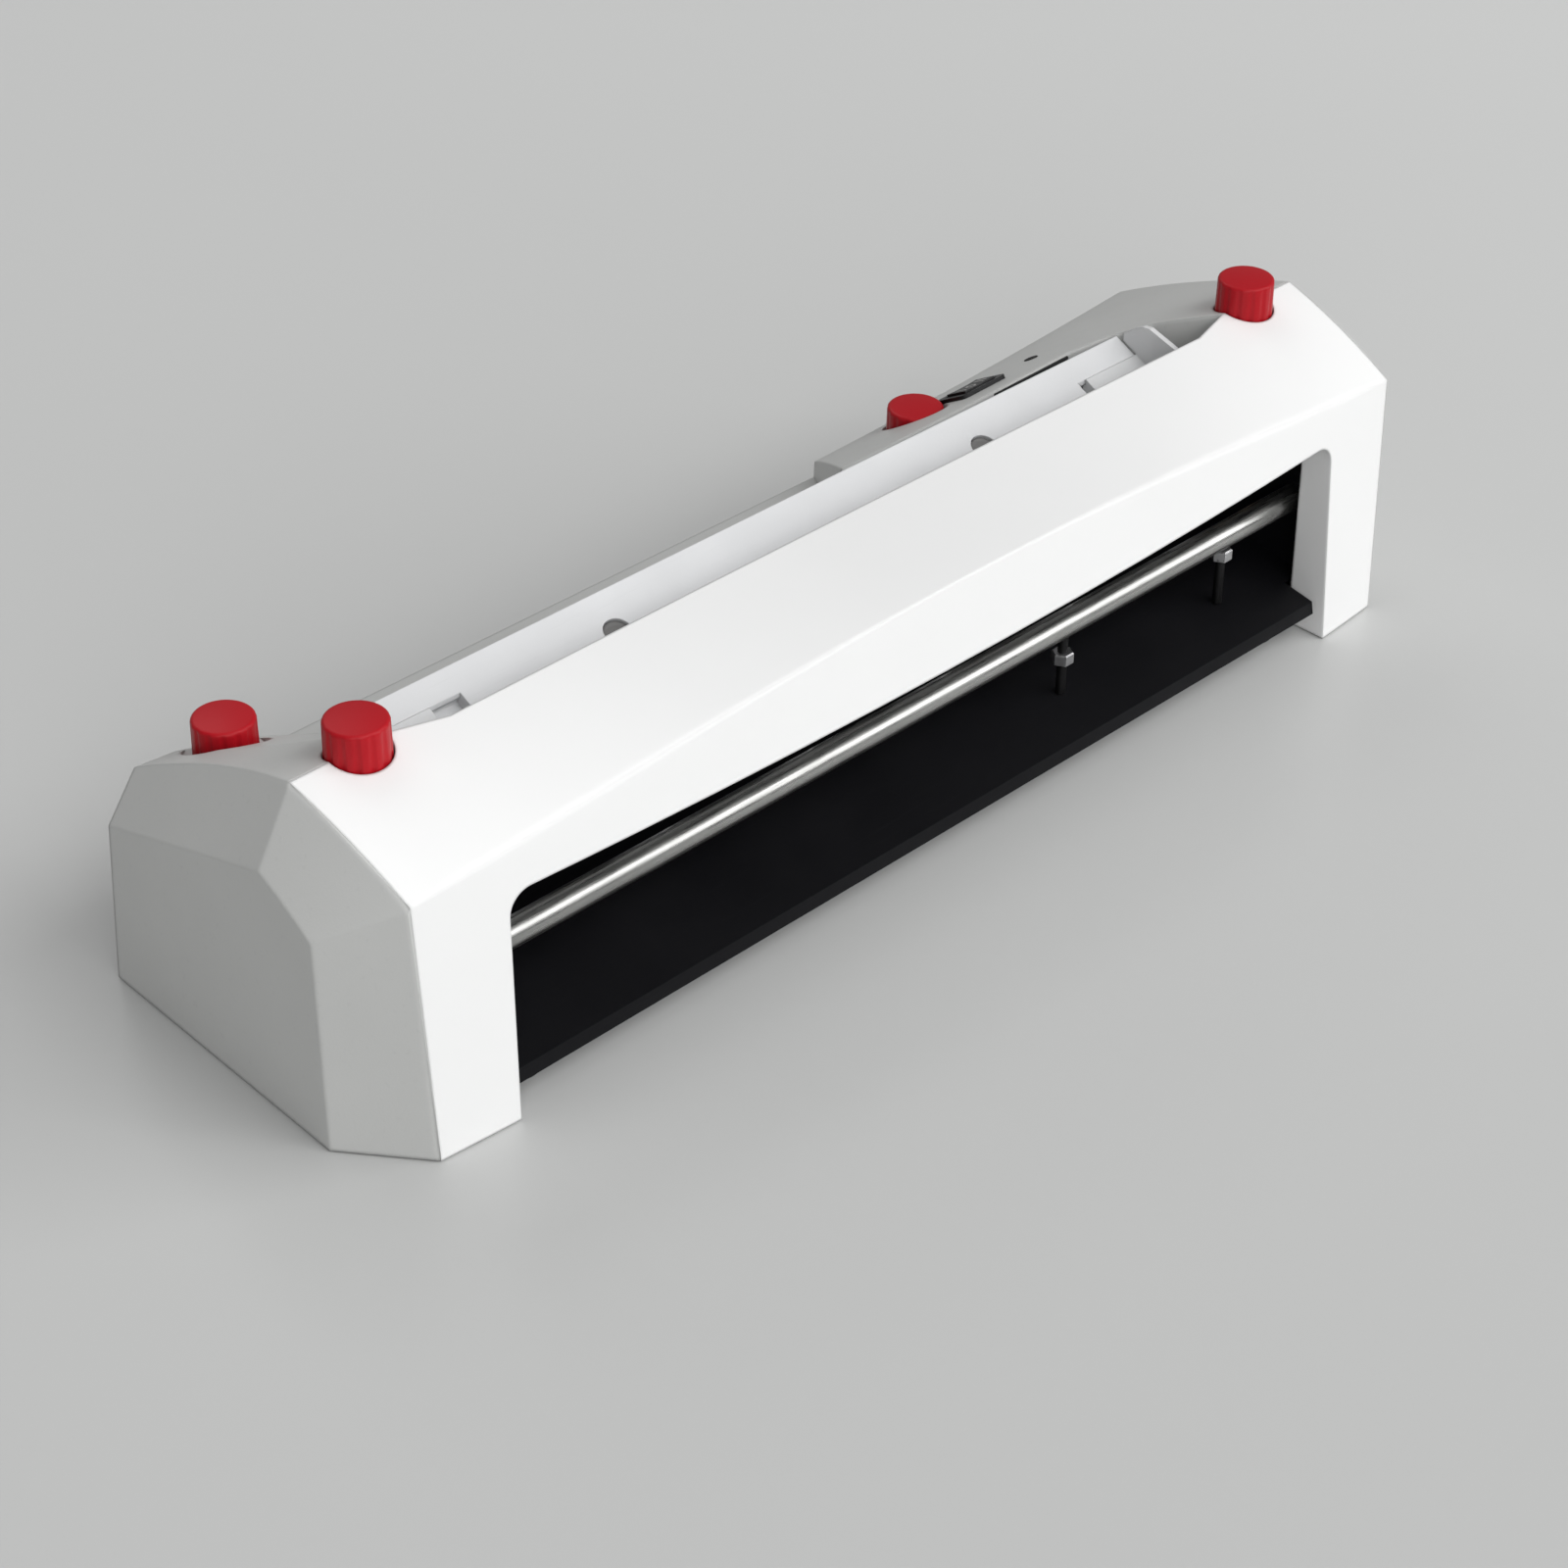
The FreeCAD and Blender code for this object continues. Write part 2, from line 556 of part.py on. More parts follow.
# ---- places of the adjusters --------------------------------------------------------------
def adjusters():
    """name: x, y, z of the knob's top, gap around the knob, bridge z, upper shaft z, nut travel"""
    front_top = RIDGE_Z + FRONT_KNOB_STAND
    left_top = rear_z(LEFT_REAR_KNOB_X, REAR_SHAFT_Y) + LEFT_REAR_KNOB_STAND
    right_top = rear_z(MID_FRAME_X, REAR_SHAFT_Y) + RIGHT_REAR_KNOB_STAND
    front = (RECESS_GAP_FRONT, FRONT_BRIDGE_Z, FRONT_UPPER_Z, NUT_TRAVEL_FRONT)
    rear = (REAR_BRIDGE_Z, REAR_UPPER_Z, NUT_TRAVEL_REAR)
    return {
        "front_left": (-FRAME_X, FRONT_SHAFT_Y, front_top) + front,
        "front_right": (FRAME_X, FRONT_SHAFT_Y, front_top) + front,
        "rear_left": (LEFT_REAR_KNOB_X, REAR_SHAFT_Y, left_top, RECESS_GAP_LEFT) + rear,
        "rear_right": (MID_FRAME_X, REAR_SHAFT_Y, right_top, RECESS_GAP_RIGHT) + rear,
    }


ADJUSTERS = adjusters()


def recess_cut(place):
    """A knob's recess, with a hole below it for the screw."""
    x, y, top, gap, bridge_z, shaft, travel = ADJUSTERS[place]
    recess = round_z(x, y, top - KNOB_HIGH - RECESS_CLEAR, HIGH, KNOB_RADIUS + gap)
    return recess.fuse(round_z(x, y, bridge_z, HIGH, SCREW_RADIUS + SCREW_HOLE_GAP))


def recess_cup(place, form):
    """Floor and side wall of a knob's recess, hung under the cover."""
    x, y, top, gap, bridge_z, shaft, travel = ADJUSTERS[place]
    floor_z = top - KNOB_HIGH - RECESS_CLEAR
    cup = round_z(x, y, floor_z - RECESS_WALL, HIGH, KNOB_RADIUS + gap + RECESS_WALL)
    return cup.common(form).cut(recess_cut(place))


# ---- covers -------------------------------------------------------------------------------
def behind_ridge():
    points = [
        (-FAR, RIDGE_Y),
        (-TROUGH_HALF, RIDGE_Y),
        (-TROUGH_STEP_HALF, TROUGH_FRONT_Y),
        (TROUGH_STEP_HALF, TROUGH_FRONT_Y),
        (TROUGH_HALF, RIDGE_Y),
        (FAR, RIDGE_Y),
        (FAR, FAR),
        (-FAR, FAR),
    ]
    return plan_prism(points, -HIGH, HIGH)


def opening_prism(grow, y1):
    """The front opening's outline, grown on its sides and top, from far in front to y1."""
    y0 = -HIGH
    half_low = OPENING_HALF_BOTTOM + grow
    half_top = OPENING_HALF_TOP + grow
    top = OPENING_TOP_Z + grow
    corners = [(-half_low, -5), (-half_top, top), (half_top, top), (half_low, -5)]
    points = [Vec(x, y0, z) for x, z in corners]
    solid = Part.Face(Part.makePolygon(points + points[:1])).extrude(Vec(0, y1 - y0, 0))
    upper = [
        edge
        for edge in solid.Edges
        if min(v.Z for v in edge.Vertexes) > OPENING_TOP_Z - 1
        and abs(edge.Vertexes[0].Y - edge.Vertexes[-1].Y) > 1
    ]
    return solid.makeFillet(OPENING_RADIUS + grow, upper)


def boss_places():
    """Screw bosses of each cover, standing on the base plate beside a cover wall."""
    side_x = SIDE_HALF - BOSS_IN_SIDE
    front_y = FRONT_CORNER_Y + BOSS_IN_FRONT
    side_y = SIDE_CORNER_Y + BOSS_IN_FRONT
    rear_y = REAR_Y - BOSS_IN_REAR
    deck_y = REAR_Y - BOSS_IN_DECK
    deck_x0 = DECK_LEFT_X + BOSS_IN_DECK_LEFT
    deck_x1 = REAR_COVER_RIGHT_X - BOSS_IN_DECK_RIGHT
    leg_x = (OPENING_HALF_BOTTOM + FRONT_HALF) / 2
    return {
        "front_cover": [(-leg_x, front_y), (leg_x, front_y)],
        "left_end_cover": [(-side_x, side_y), (-side_x, rear_y)],
        "right_end_cover": [(side_x, side_y), (side_x, rear_y)],
        "rear_cover": [(deck_x0, deck_y), (deck_x1, deck_y)],
    }


def bosses(cover):
    """Bored posts with a web that runs out to the wall."""
    made = []
    half = BOSS_WEB_HALF
    for x, y in boss_places()[cover]:
        post = round_z(x, y, BASE_TOP_Z, BOSS_TOP_Z, BOSS_RADIUS)
        if cover == "front_cover":
            web = block(x - half, x + half, y - BOSS_WEB_LONG, y, BASE_TOP_Z, BOSS_TOP_Z)
        elif cover == "rear_cover":
            web = block(x - half, x + half, y, y + BOSS_WEB_LONG, BASE_TOP_Z, BOSS_TOP_Z)
        else:
            side = math.copysign(1, x)
            x0, x1 = sorted((x, x + side * BOSS_WEB_SIDE_LONG))
            web = block(x0, x1, y - half, y + half, BASE_TOP_Z, BOSS_TOP_Z)
        post = post.fuse(web).common(OUTER)
        made.append(post.cut(round_z(x, y, 0, BOSS_TOP_Z - 2, CASE_SCREW_RADIUS + CASE_SCREW_RUN)))
    return made


def front_cover():
    shell = OUTER.cut(INNER)
    half = TROUGH_STEP_HALF
    lip = block(-half, half, TROUGH_FRONT_Y - TROUGH_LIP, TROUGH_FRONT_Y, RIDGE_Z - TROUGH_LIP_HIGH, HIGH)
    shell = shell.fuse(lip.common(OUTER))
    flange = opening_prism(OPENING_FLANGE, OPENING_FLANGE_BACK_Y)
    shell = shell.fuse(flange.common(OUTER))
    shell = shell.cut(opening_prism(0, OPENING_FLANGE_BACK_Y + 10))
    shell = shell.cut([end_parting(-1), end_parting(1), behind_ridge()])
    shell = shell.cut([recess_cut("front_left"), recess_cut("front_right")])
    return joined([shell] + bosses("front_cover"))


def pod_facet(inset):
    """Space above the facet that falls from the left pod's inner edge towards the deck."""
    rear_edge_z = rear_z(POD_EDGE_REAR_X, REAR_TOP_Y)
    points = (
        Vec(-TROUGH_HALF, RIDGE_Y, RIDGE_Z),
        Vec(POD_EDGE_REAR_X, REAR_TOP_Y, rear_edge_z),
        Vec(POD_EDGE_REAR_X + 40, REAR_TOP_Y, rear_edge_z - 40 * POD_SKIRT_SLOPE),
    )
    return beyond_plane(points, inset)


def trough_shelf():
    """A ledge at the right end of the trough, between the feed plate and the end wall."""
    end = TROUGH_HALF + CASING_WALL / 2
    ledge = block(SHELF_INNER_X, end, SHELF_FRONT_Y, SHELF_BACK_Y, SHELF_TOP_Z - CASING_WALL, SHELF_TOP_Z)
    return ledge.common(plan_prism(shelf_outline(), 0, HIGH))


def shelf_outline():
    """The trough's end and half of the wall around it."""
    grow = CASING_WALL / 2
    return [
        (0, SHELF_FRONT_Y),
        (TROUGH_HALF + grow, SHELF_FRONT_Y),
        (TROUGH_HALF + grow, RIDGE_Y),
        (HOUSING_STEP_X + grow, HOUSING_STEP_Y + grow),
        (HOUSING_BEND_X + grow, HOUSING_BEND_Y + grow),
        (0, HOUSING_BEND_Y + grow),
    ]


def hollow_end(side, outline, extra_cuts):
    """One end cover: everything beyond the parting plane, and the rear part inside an outline.

    The outline starts on the ridge, where the hollow runs on into the front."""
    forward = [(x, y - HOLLOW_REACH) for x, y in outline[:2]] + outline[1:]
    region = end_parting(side).fuse(plan_prism(outline, -HIGH, HIGH))
    shifted = Part.Face(Part.makePolygon([Vec(x, y, SKIRT_Z) for x, y in forward + forward[:1]]))
    upper = shifted.makeOffset2D(-CASING_WALL).extrude(Vec(0, 0, HIGH))
    lower = plan_prism(forward, -HIGH, SKIRT_Z + 0.001)
    solid = OUTER.common(region)
    cavity = INNER.common(end_parting(side).fuse([upper, lower]))
    for cut in extra_cuts:
        solid = solid.cut(cut(0))
        cavity = cavity.cut(cut(CASING_WALL))
    return solid, solid.cut(cavity)


def left_end_cover():
    outline = [
        (-FAR, RIDGE_Y),
        (-TROUGH_HALF, RIDGE_Y),
        (-TROUGH_HALF, PLATE_TOP_Y + 2),
        (DECK_LEFT_X, PLATE_TOP_Y + 2),
        (DECK_LEFT_X, FAR),
        (-FAR, FAR),
    ]
    solid, shell = hollow_end(-1, outline, [pod_facet])
    shell = shell.cut([recess_cut("front_left"), recess_cut("rear_left")])
    front_cup = recess_cup("front_left", INNER)
    rear_cup = recess_cup("rear_left", solid)
    return joined([shell, front_cup, rear_cup] + bosses("left_end_cover"))


def housing_outline():
    slant = (HOUSING_LEFT_REAR_X - HOUSING_LEFT_FRONT_X) / (REAR_TOP_Y - HOUSING_FRONT_Y)
    return [
        (FAR, RIDGE_Y),
        (TROUGH_HALF, RIDGE_Y),
        (HOUSING_STEP_X, HOUSING_STEP_Y),
        (HOUSING_BEND_X, HOUSING_BEND_Y),
        (HOUSING_CORNER_X, HOUSING_FRONT_Y),
        (HOUSING_LEFT_FRONT_X, HOUSING_FRONT_Y),
        (HOUSING_LEFT_FRONT_X + slant * (80 - HOUSING_FRONT_Y), 80),
        (FAR, 80),
    ]


def switch_spot():
    """Height of the housing's top at the switch, and its fall rearwards and rise outwards."""
    middle = rear_z(SWITCH_X, SWITCH_Y)
    fall = rear_z(SWITCH_X, SWITCH_Y + 0.5) - rear_z(SWITCH_X, SWITCH_Y - 0.5)
    rise = rear_z(SWITCH_X + 0.5, SWITCH_Y) - rear_z(SWITCH_X - 0.5, SWITCH_Y)
    return middle, math.degrees(math.atan(fall)), math.degrees(math.atan(rise))


def on_switch_slope(shape):
    """Lays a shape made about the origin onto the housing's slope at the switch."""
    middle, fall, rise = switch_spot()
    placed = shape.copy()
    placed.rotate(Vec(0, 0, 0), Vec(1, 0, 0), fall)
    placed.rotate(Vec(0, 0, 0), Vec(0, 1, 0), -rise)
    placed.translate(Vec(SWITCH_X, SWITCH_Y, middle))
    return placed


def socket_face_y():
    return REAR_Y - REAR_LEAN * SOCKET_Z


def housing_skirt():
    """The housing's front and left walls between the trough's skirt and the deck."""
    top = SKIRT_Z + 0.01
    outline = housing_outline()
    face = Part.Face(Part.makePolygon([Vec(x, y, DECK_REAR_Z) for x, y in outline + outline[:1]]))
    room = face.makeOffset2D(-CASING_WALL).extrude(Vec(0, 0, HIGH))
    reach = block(0, HOUSING_CORNER_X, HOUSING_FRONT_Y, FAR, DECK_REAR_Z, top)
    return OUTER.common(reach).common(plan_prism(outline, 0, HIGH)).cut(room)


def right_end_cover():
    solid, shell = hollow_end(1, housing_outline(), [])
    low_corner = block(-FAR, REAR_COVER_RIGHT_X, 0, FAR, -HIGH, DECK_REAR_Z)
    shell = shell.cut(low_corner)
    shell = shell.cut([recess_cut("front_right"), recess_cut("rear_right")])
    hole = block(-SWITCH_LONG / 2, SWITCH_LONG / 2, -SWITCH_DEEP / 2, SWITCH_DEEP / 2, -20, 20)
    socket_hole = block(
        SOCKET_X - SOCKET_LONG / 2,
        SOCKET_X + SOCKET_LONG / 2,
        REAR_Y - SOCKET_DEEP,
        REAR_Y + SOCKET_DEEP,
        SOCKET_Z - SOCKET_TALL / 2,
        SOCKET_Z + SOCKET_TALL / 2,
    )
    screw_hole = round_z(HOUSING_HOLE_X, HOUSING_HOLE_Y, DECK_REAR_Z, HIGH, HOUSING_HOLE_RADIUS)
    cups = [recess_cup("front_right", INNER), recess_cup("rear_right", solid)]
    cover = joined([shell, housing_skirt(), trough_shelf()] + cups + bosses("right_end_cover"))
    return cover.cut([on_switch_slope(hole), socket_hole, screw_hole])


def above_deck(inset):
    rear = REAR_TOP_Y
    slope = (DECK_REAR_Z - DECK_FRONT_Z) / (rear - DECK_FRONT_Y)
    start = DECK_FRONT_Z - inset - slope * 20
    end = DECK_REAR_Z - inset + slope * 20
    outline = [(DECK_FRONT_Y - 20, start), (rear + 20, end), (rear + 20, HIGH), (DECK_FRONT_Y - 20, HIGH)]
    return section_prism(outline, -FAR, FAR)


def rear_cover():
    room = block(DECK_LEFT_X, REAR_COVER_RIGHT_X, DECK_FRONT_Y, FAR, -HIGH, HIGH)
    solid = OUTER.common(room).cut(above_deck(0))
    cavity = INNER.cut(above_deck(DECK_WALL))
    shell = solid.cut(cavity)
    lip_z = DECK_FRONT_Z - DECK_LIP_RADIUS
    rolled_lip = round_x(DECK_LEFT_X, HOUSING_LEFT_FRONT_X, DECK_FRONT_Y, lip_z, DECK_LIP_RADIUS)
    exit_hole = block(
        REAR_EXIT_LEFT_X,
        REAR_EXIT_RIGHT_X,
        DECK_FRONT_Y + 5,
        FAR,
        REAR_EXIT_LOW_Z,
        REAR_EXIT_HIGH_Z,
    )
    housing = plan_prism(housing_outline(), DECK_REAR_Z - 0.001, HIGH)
    shell = shell.fuse(rolled_lip).cut([exit_hole, housing])
    return joined([shell] + bosses("rear_cover"))


# ---- base, frames, feet -------------------------------------------------------------------
def base_plate():
    plate = INNER.common(block(-FAR, FAR, -FAR, FAR, BASE_LOW_Z, BASE_TOP_Z))
    trim = CASING_WALL + BASE_GAP
    tight = casing_form(trim, -HIGH)
    legs = OPENING_HALF_BOTTOM + OPENING_FLANGE + BASE_GAP
    plate = plate.common(tight)
    front_strip = block(-legs, legs, -FAR, OPENING_FLANGE_BACK_Y + BASE_GAP, 0, HIGH)
    plate = plate.cut(front_strip)
    for places in boss_places().values():
        for x, y in places:
            plate = plate.cut(round_z(x, y, 0, HIGH, CASE_SCREW_RADIUS + CASE_SCREW_RUN))
    return plate


def frame_plate(x, outline, holes, slot_y, slot_low, bridge_z):
    """A steel frame with shaft holes and, under each bridge, a slot for a sliding block."""
    x0 = x - FRAME_SHEET / 2
    x1 = x + FRAME_SHEET / 2
    plate = section_prism(outline, x0, x1)
    for y, z, radius in holes:
        plate = plate.cut(round_x(x0 - 1, x1 + 1, y, z, radius))
    for y, low, top in zip(slot_y, slot_low, bridge_z):
        plate = plate.cut(block(x0 - 1, x1 + 1, y - FRAME_SLOT / 2, y + FRAME_SLOT / 2, low, top))
    return plate


def bridge(x, y, z, hole_x):
    plate = block(
        min(x, hole_x) - BRIDGE_WIDE / 2,
        max(x, hole_x) + BRIDGE_WIDE / 2,
        y - BRIDGE_DEEP / 2,
        y + BRIDGE_DEEP / 2,
        z,
        z + BRIDGE_SHEET,
    )
    return plate.cut(round_z(hole_x, y, z - 1, z + BRIDGE_SHEET + 1, SCREW_RADIUS + SCREW_RUN))


def side_frame(side):
    x = side * FRAME_X
    rear_hole = [(REAR_SHAFT_Y, REAR_SHAFT_Z, BUSH_RADIUS)]
    holes = [(FRONT_SHAFT_Y, FRONT_SHAFT_Z, BUSH_RADIUS)]
    slots = [FRONT_SHAFT_Y]
    lows = [FRONT_UPPER_Z - BLOCK_HALF_HIGH]
    bridges = [FRONT_BRIDGE_Z]
    if side < 0:
        holes += rear_hole
        slots.append(REAR_SHAFT_Y)
        lows.append(REAR_UPPER_Z - BLOCK_HALF_HIGH)
        bridges.append(REAR_BRIDGE_Z)
        tail = [(FRAME_REAR_Y, REAR_BRIDGE_Z), (REAR_SHAFT_Y - BRIDGE_DEEP / 2, REAR_BRIDGE_Z)]
    else:
        holes.append((MOTOR_Y, MOTOR_Z, MOTOR_SHAFT_RADIUS + MOTOR_SHAFT_GAP))
        tail = [(FRAME_REAR_Y, MOTOR_Z + MOTOR_RADIUS), (MOTOR_Y, REAR_BRIDGE_Z)]
    front_bridge_half = BRIDGE_DEEP / 2
    outline = [
        (FRAME_FRONT_Y, BASE_TOP_Z),
        (FRAME_FRONT_Y, ROD_Z + 3 * ROD_RADIUS),
        (FRONT_SHAFT_Y - front_bridge_half, FRONT_BRIDGE_Z),
        (FRONT_SHAFT_Y + front_bridge_half, FRONT_BRIDGE_Z),
    ]
    outline += tail[::-1]
    outline.append((FRAME_REAR_Y, BASE_TOP_Z))
    plate = frame_plate(x, outline, holes, slots, lows, bridges)
    pieces = [plate]
    flange_x = sorted((x, x - side * 12))
    pieces.append(block(flange_x[0], flange_x[1], FRAME_FRONT_Y, FRAME_REAR_Y, BASE_TOP_Z, BASE_TOP_Z + 2))
    pieces.append(bridge(x, FRONT_SHAFT_Y, FRONT_BRIDGE_Z, x))
    if side < 0:
        pieces.append(bridge(x, REAR_SHAFT_Y, REAR_BRIDGE_Z, LEFT_REAR_KNOB_X))
    return joined(pieces)


def middle_frame():
    x = MID_FRAME_X
    outline = [
        (MID_FRAME_FRONT_Y, BASE_TOP_Z),
        (MID_FRAME_FRONT_Y, REAR_BRIDGE_Z),
        (FRAME_REAR_Y, REAR_BRIDGE_Z),
        (FRAME_REAR_Y, BASE_TOP_Z),
    ]
    hole = [(REAR_SHAFT_Y, REAR_SHAFT_Z, BUSH_RADIUS)]
    low = REAR_UPPER_Z - BLOCK_HALF_HIGH
    plate = frame_plate(x, outline, hole, [REAR_SHAFT_Y], [low], [REAR_BRIDGE_Z])
    flange = block(x, x + 10, MID_FRAME_FRONT_Y, FRAME_REAR_Y, BASE_TOP_Z, BASE_TOP_Z + 2)
    return joined([plate, flange, bridge(x, REAR_SHAFT_Y, REAR_BRIDGE_Z, x)])


def rubber_feet():
    feet = []
    for x in (-FOOT_X, FOOT_X):
        for y in (-FOOT_Y, FOOT_Y):
            foot = round_z(x, y, 0, BASE_LOW_Z, FOOT_RADIUS)
            rims = [e for e in foot.Edges if len(e.Vertexes) == 1 and e.Vertexes[0].Z < 0.1]
            feet.append(foot.makeFillet(FOOT_DOME, rims))
    return group(feet)


def case_screws():
    screws = []
    for places in boss_places().values():
        for x, y in places:
            low = BASE_LOW_Z - CASE_SCREW_HEAD_HIGH
            deep = BASE_LOW_Z - CASE_SCREW_HEAD_HIGH / 2
            head = round_z(x, y, low, BASE_LOW_Z, CASE_SCREW_HEAD)
            shank = round_z(x, y, BASE_LOW_Z, BOSS_TOP_Z - 4, CASE_SCREW_RADIUS)
            cross = block(x - CROSS_HALF, x + CROSS_HALF, y - CROSS_SLOT, y + CROSS_SLOT, low - 1, deep)
            other = block(x - CROSS_SLOT, x + CROSS_SLOT, y - CROSS_HALF, y + CROSS_HALF, low - 1, deep)
            screws.append(head.fuse(shank).cut([cross, other]))
    return group(screws)


# ---- shafts, blades, rollers, bearings ----------------------------------------------------
def front_blade_places():
    first = -CARD_SHORT * CARD_ROW / 2
    return [first + CARD_SHORT * i for i in range(CARD_ROW + 1)]


def rear_blade_places():
    return [REAR_PATH_X + CARD_LONG * i for i in (-1, 0, 1)]


def blade_set(places, y, z, upper):
    """Round blades with hubs; an upper blade runs beside its lower one."""
    blades = []
    for x in places:
        if upper:
            x0 = x + BLADE_SIDE_GAP
            hub = round_x(x0 + BLADE_THICK, x0 + BLADE_THICK + BLADE_HUB_LONG, y, z, BLADE_HUB_RADIUS)
        else:
            x0 = x - BLADE_THICK
            hub = round_x(x0 - BLADE_HUB_LONG, x0, y, z, BLADE_HUB_RADIUS)
        blade = round_x(x0, x0 + BLADE_THICK, y, z, BLADE_RADIUS).fuse(hub)
        blades.append(blade.cut(round_x(x0 - 20, x0 + 20, y, z, SHAFT_RADIUS)))
    return group(blades)


def roller_set(places, y, z):
    """Rubber rings halfway between the blades."""
    rollers = []
    for left, right in zip(places, places[1:]):
        middle = (left + right) / 2
        ring = round_x(middle - ROLLER_WIDE / 2, middle + ROLLER_WIDE / 2, y, z, ROLLER_RADIUS)
        rollers.append(ring.cut(round_x(middle - 20, middle + 20, y, z, SHAFT_RADIUS)))
    return group(rollers)


def flanged_bush(x, y, z, side):
    """A bush pressed into a frame from inside, with its flange on the inner face."""
    inner = x - side * FRAME_SHEET / 2
    outer = x + side * (FRAME_SHEET / 2 + BUSH_PROUD)
    flange = inner - side * BUSH_FLANGE
    body = round_x(min(inner, outer), max(inner, outer), y, z, BUSH_RADIUS)
    collar = round_x(min(inner, flange), max(inner, flange), y, z, BUSH_FLANGE_RADIUS)
    return body.fuse(collar).cut(round_x(x - 20, x + 20, y, z, SHAFT_RADIUS + SHAFT_RUN))


def bearing_block(x, y, z):
    """A block with cheeks on both sides of the frame, which slides in the frame's slot."""
    width = FRAME_SLOT / 2 - BLOCK_RUN
    sheet = FRAME_SHEET / 2 + BLOCK_RUN
    low = z - BLOCK_HALF_HIGH
    top = z + BLOCK_HALF_HIGH
    deep = FRAME_SLOT / 2 + BLOCK_CHEEK
    x0 = x - BLOCK_WIDE / 2
    x1 = x + BLOCK_WIDE / 2
    core = block(x0, x1, y - width, y + width, low, top)
    left = block(x0, x - sheet, y - deep, y + deep, low, top)
    right = block(x + sheet, x1, y - deep, y + deep, low, top)
    return joined([core, left, right]).cut(round_x(x - 20, x + 20, y, z, SHAFT_RADIUS + SHAFT_RUN))


def shaft_bearings():
    bearings = [
        flanged_bush(-FRAME_X, FRONT_SHAFT_Y, FRONT_SHAFT_Z, -1),
        flanged_bush(FRAME_X, FRONT_SHAFT_Y, FRONT_SHAFT_Z, 1),
        flanged_bush(-FRAME_X, REAR_SHAFT_Y, REAR_SHAFT_Z, -1),
        flanged_bush(MID_FRAME_X, REAR_SHAFT_Y, REAR_SHAFT_Z, 1),
        bearing_block(-FRAME_X, FRONT_SHAFT_Y, FRONT_UPPER_Z),
        bearing_block(FRAME_X, FRONT_SHAFT_Y, FRONT_UPPER_Z),
        bearing_block(-FRAME_X, REAR_SHAFT_Y, REAR_UPPER_Z),
        bearing_block(MID_FRAME_X, REAR_SHAFT_Y, REAR_UPPER_Z),
    ]
    return group(bearings)


# ---- gears --------------------------------------------------------------------------------
def involute(angle):
    return math.tan(angle) - angle


def gear(teeth, middle_x, y, z, phase, bore):
    """An involute spur gear about X; phase is the angle of one tooth's middle, from +Y to +Z."""
    pitch = MODULE * teeth / 2
    base = pitch * math.cos(PRESSURE_ANGLE)
    tip = pitch + 0.95 * MODULE
    root = pitch - 1.2 * MODULE
    half = (math.pi * MODULE / 2 - GEAR_BACKLASH) / 2 / pitch
    flank_start = max(base, root + 0.05)
    radii = [root] + [flank_start + (tip - flank_start) * i / 4 for i in range(5)]
    points = []
    for tooth in range(teeth):
        middle = phase + 2 * math.pi * tooth / teeth
        spread = []
        for radius in radii:
            angle = math.acos(min(base / radius, 1.0))
            spread.append(half + involute(PRESSURE_ANGLE) - involute(angle))
        rising = [(r, middle - s) for r, s in zip(radii, spread)]
        falling = [(r, middle + s) for r, s in zip(radii, spread)]
        for radius, angle in rising + falling[::-1]:
            points.append((y + radius * math.cos(angle), z + radius * math.sin(angle)))
    wheel = section_prism(points, middle_x - GEAR_WIDE / 2, middle_x + GEAR_WIDE / 2)
    return wheel.cut(round_x(middle_x - GEAR_WIDE, middle_x + GEAR_WIDE, y, z, bore))


def mesh_phase(teeth, phase, centre, next_teeth, next_centre):
    """Phase of the next gear, so that one of its gaps faces a tooth of this one."""
    ahead = math.atan2(next_centre[1] - centre[1], next_centre[0] - centre[0])
    pitch_angle = 2 * math.pi / teeth
    past_tooth = (ahead - phase) % pitch_angle
    back = ahead + math.pi
    return back + past_tooth * teeth / next_teeth + math.pi / next_teeth


def meeting_point(first, first_reach, second, second_reach, side):
    """The point at the given distances from two centres, on one side of the line between them."""
    dy = second[0] - first[0]
    dz = second[1] - first[1]
    apart = math.hypot(dy, dz)
    along = (first_reach ** 2 - second_reach ** 2 + apart ** 2) / (2 * apart)
    across = side * math.sqrt(first_reach ** 2 - along ** 2)
    return (
        first[0] + (dy * along - dz * across) / apart,
        first[1] + (dz * along + dy * across) / apart,
    )


FRONT_LOWER = (FRONT_SHAFT_Y, FRONT_SHAFT_Z)
FRONT_UPPER = (FRONT_SHAFT_Y, FRONT_UPPER_Z)
REAR_LOWER = (REAR_SHAFT_Y, REAR_SHAFT_Z)
REAR_UPPER = (REAR_SHAFT_Y, REAR_UPPER_Z)
MOTOR_CENTRE = (MOTOR_Y, MOTOR_Z)
MOTOR_IDLER = meeting_point(
    FRONT_LOWER,
    MODULE * (DRIVE_TEETH + MOTOR_IDLER_TEETH) / 2,
    MOTOR_CENTRE,
    MODULE * (PINION_TEETH + MOTOR_IDLER_TEETH) / 2,
    -1,
)


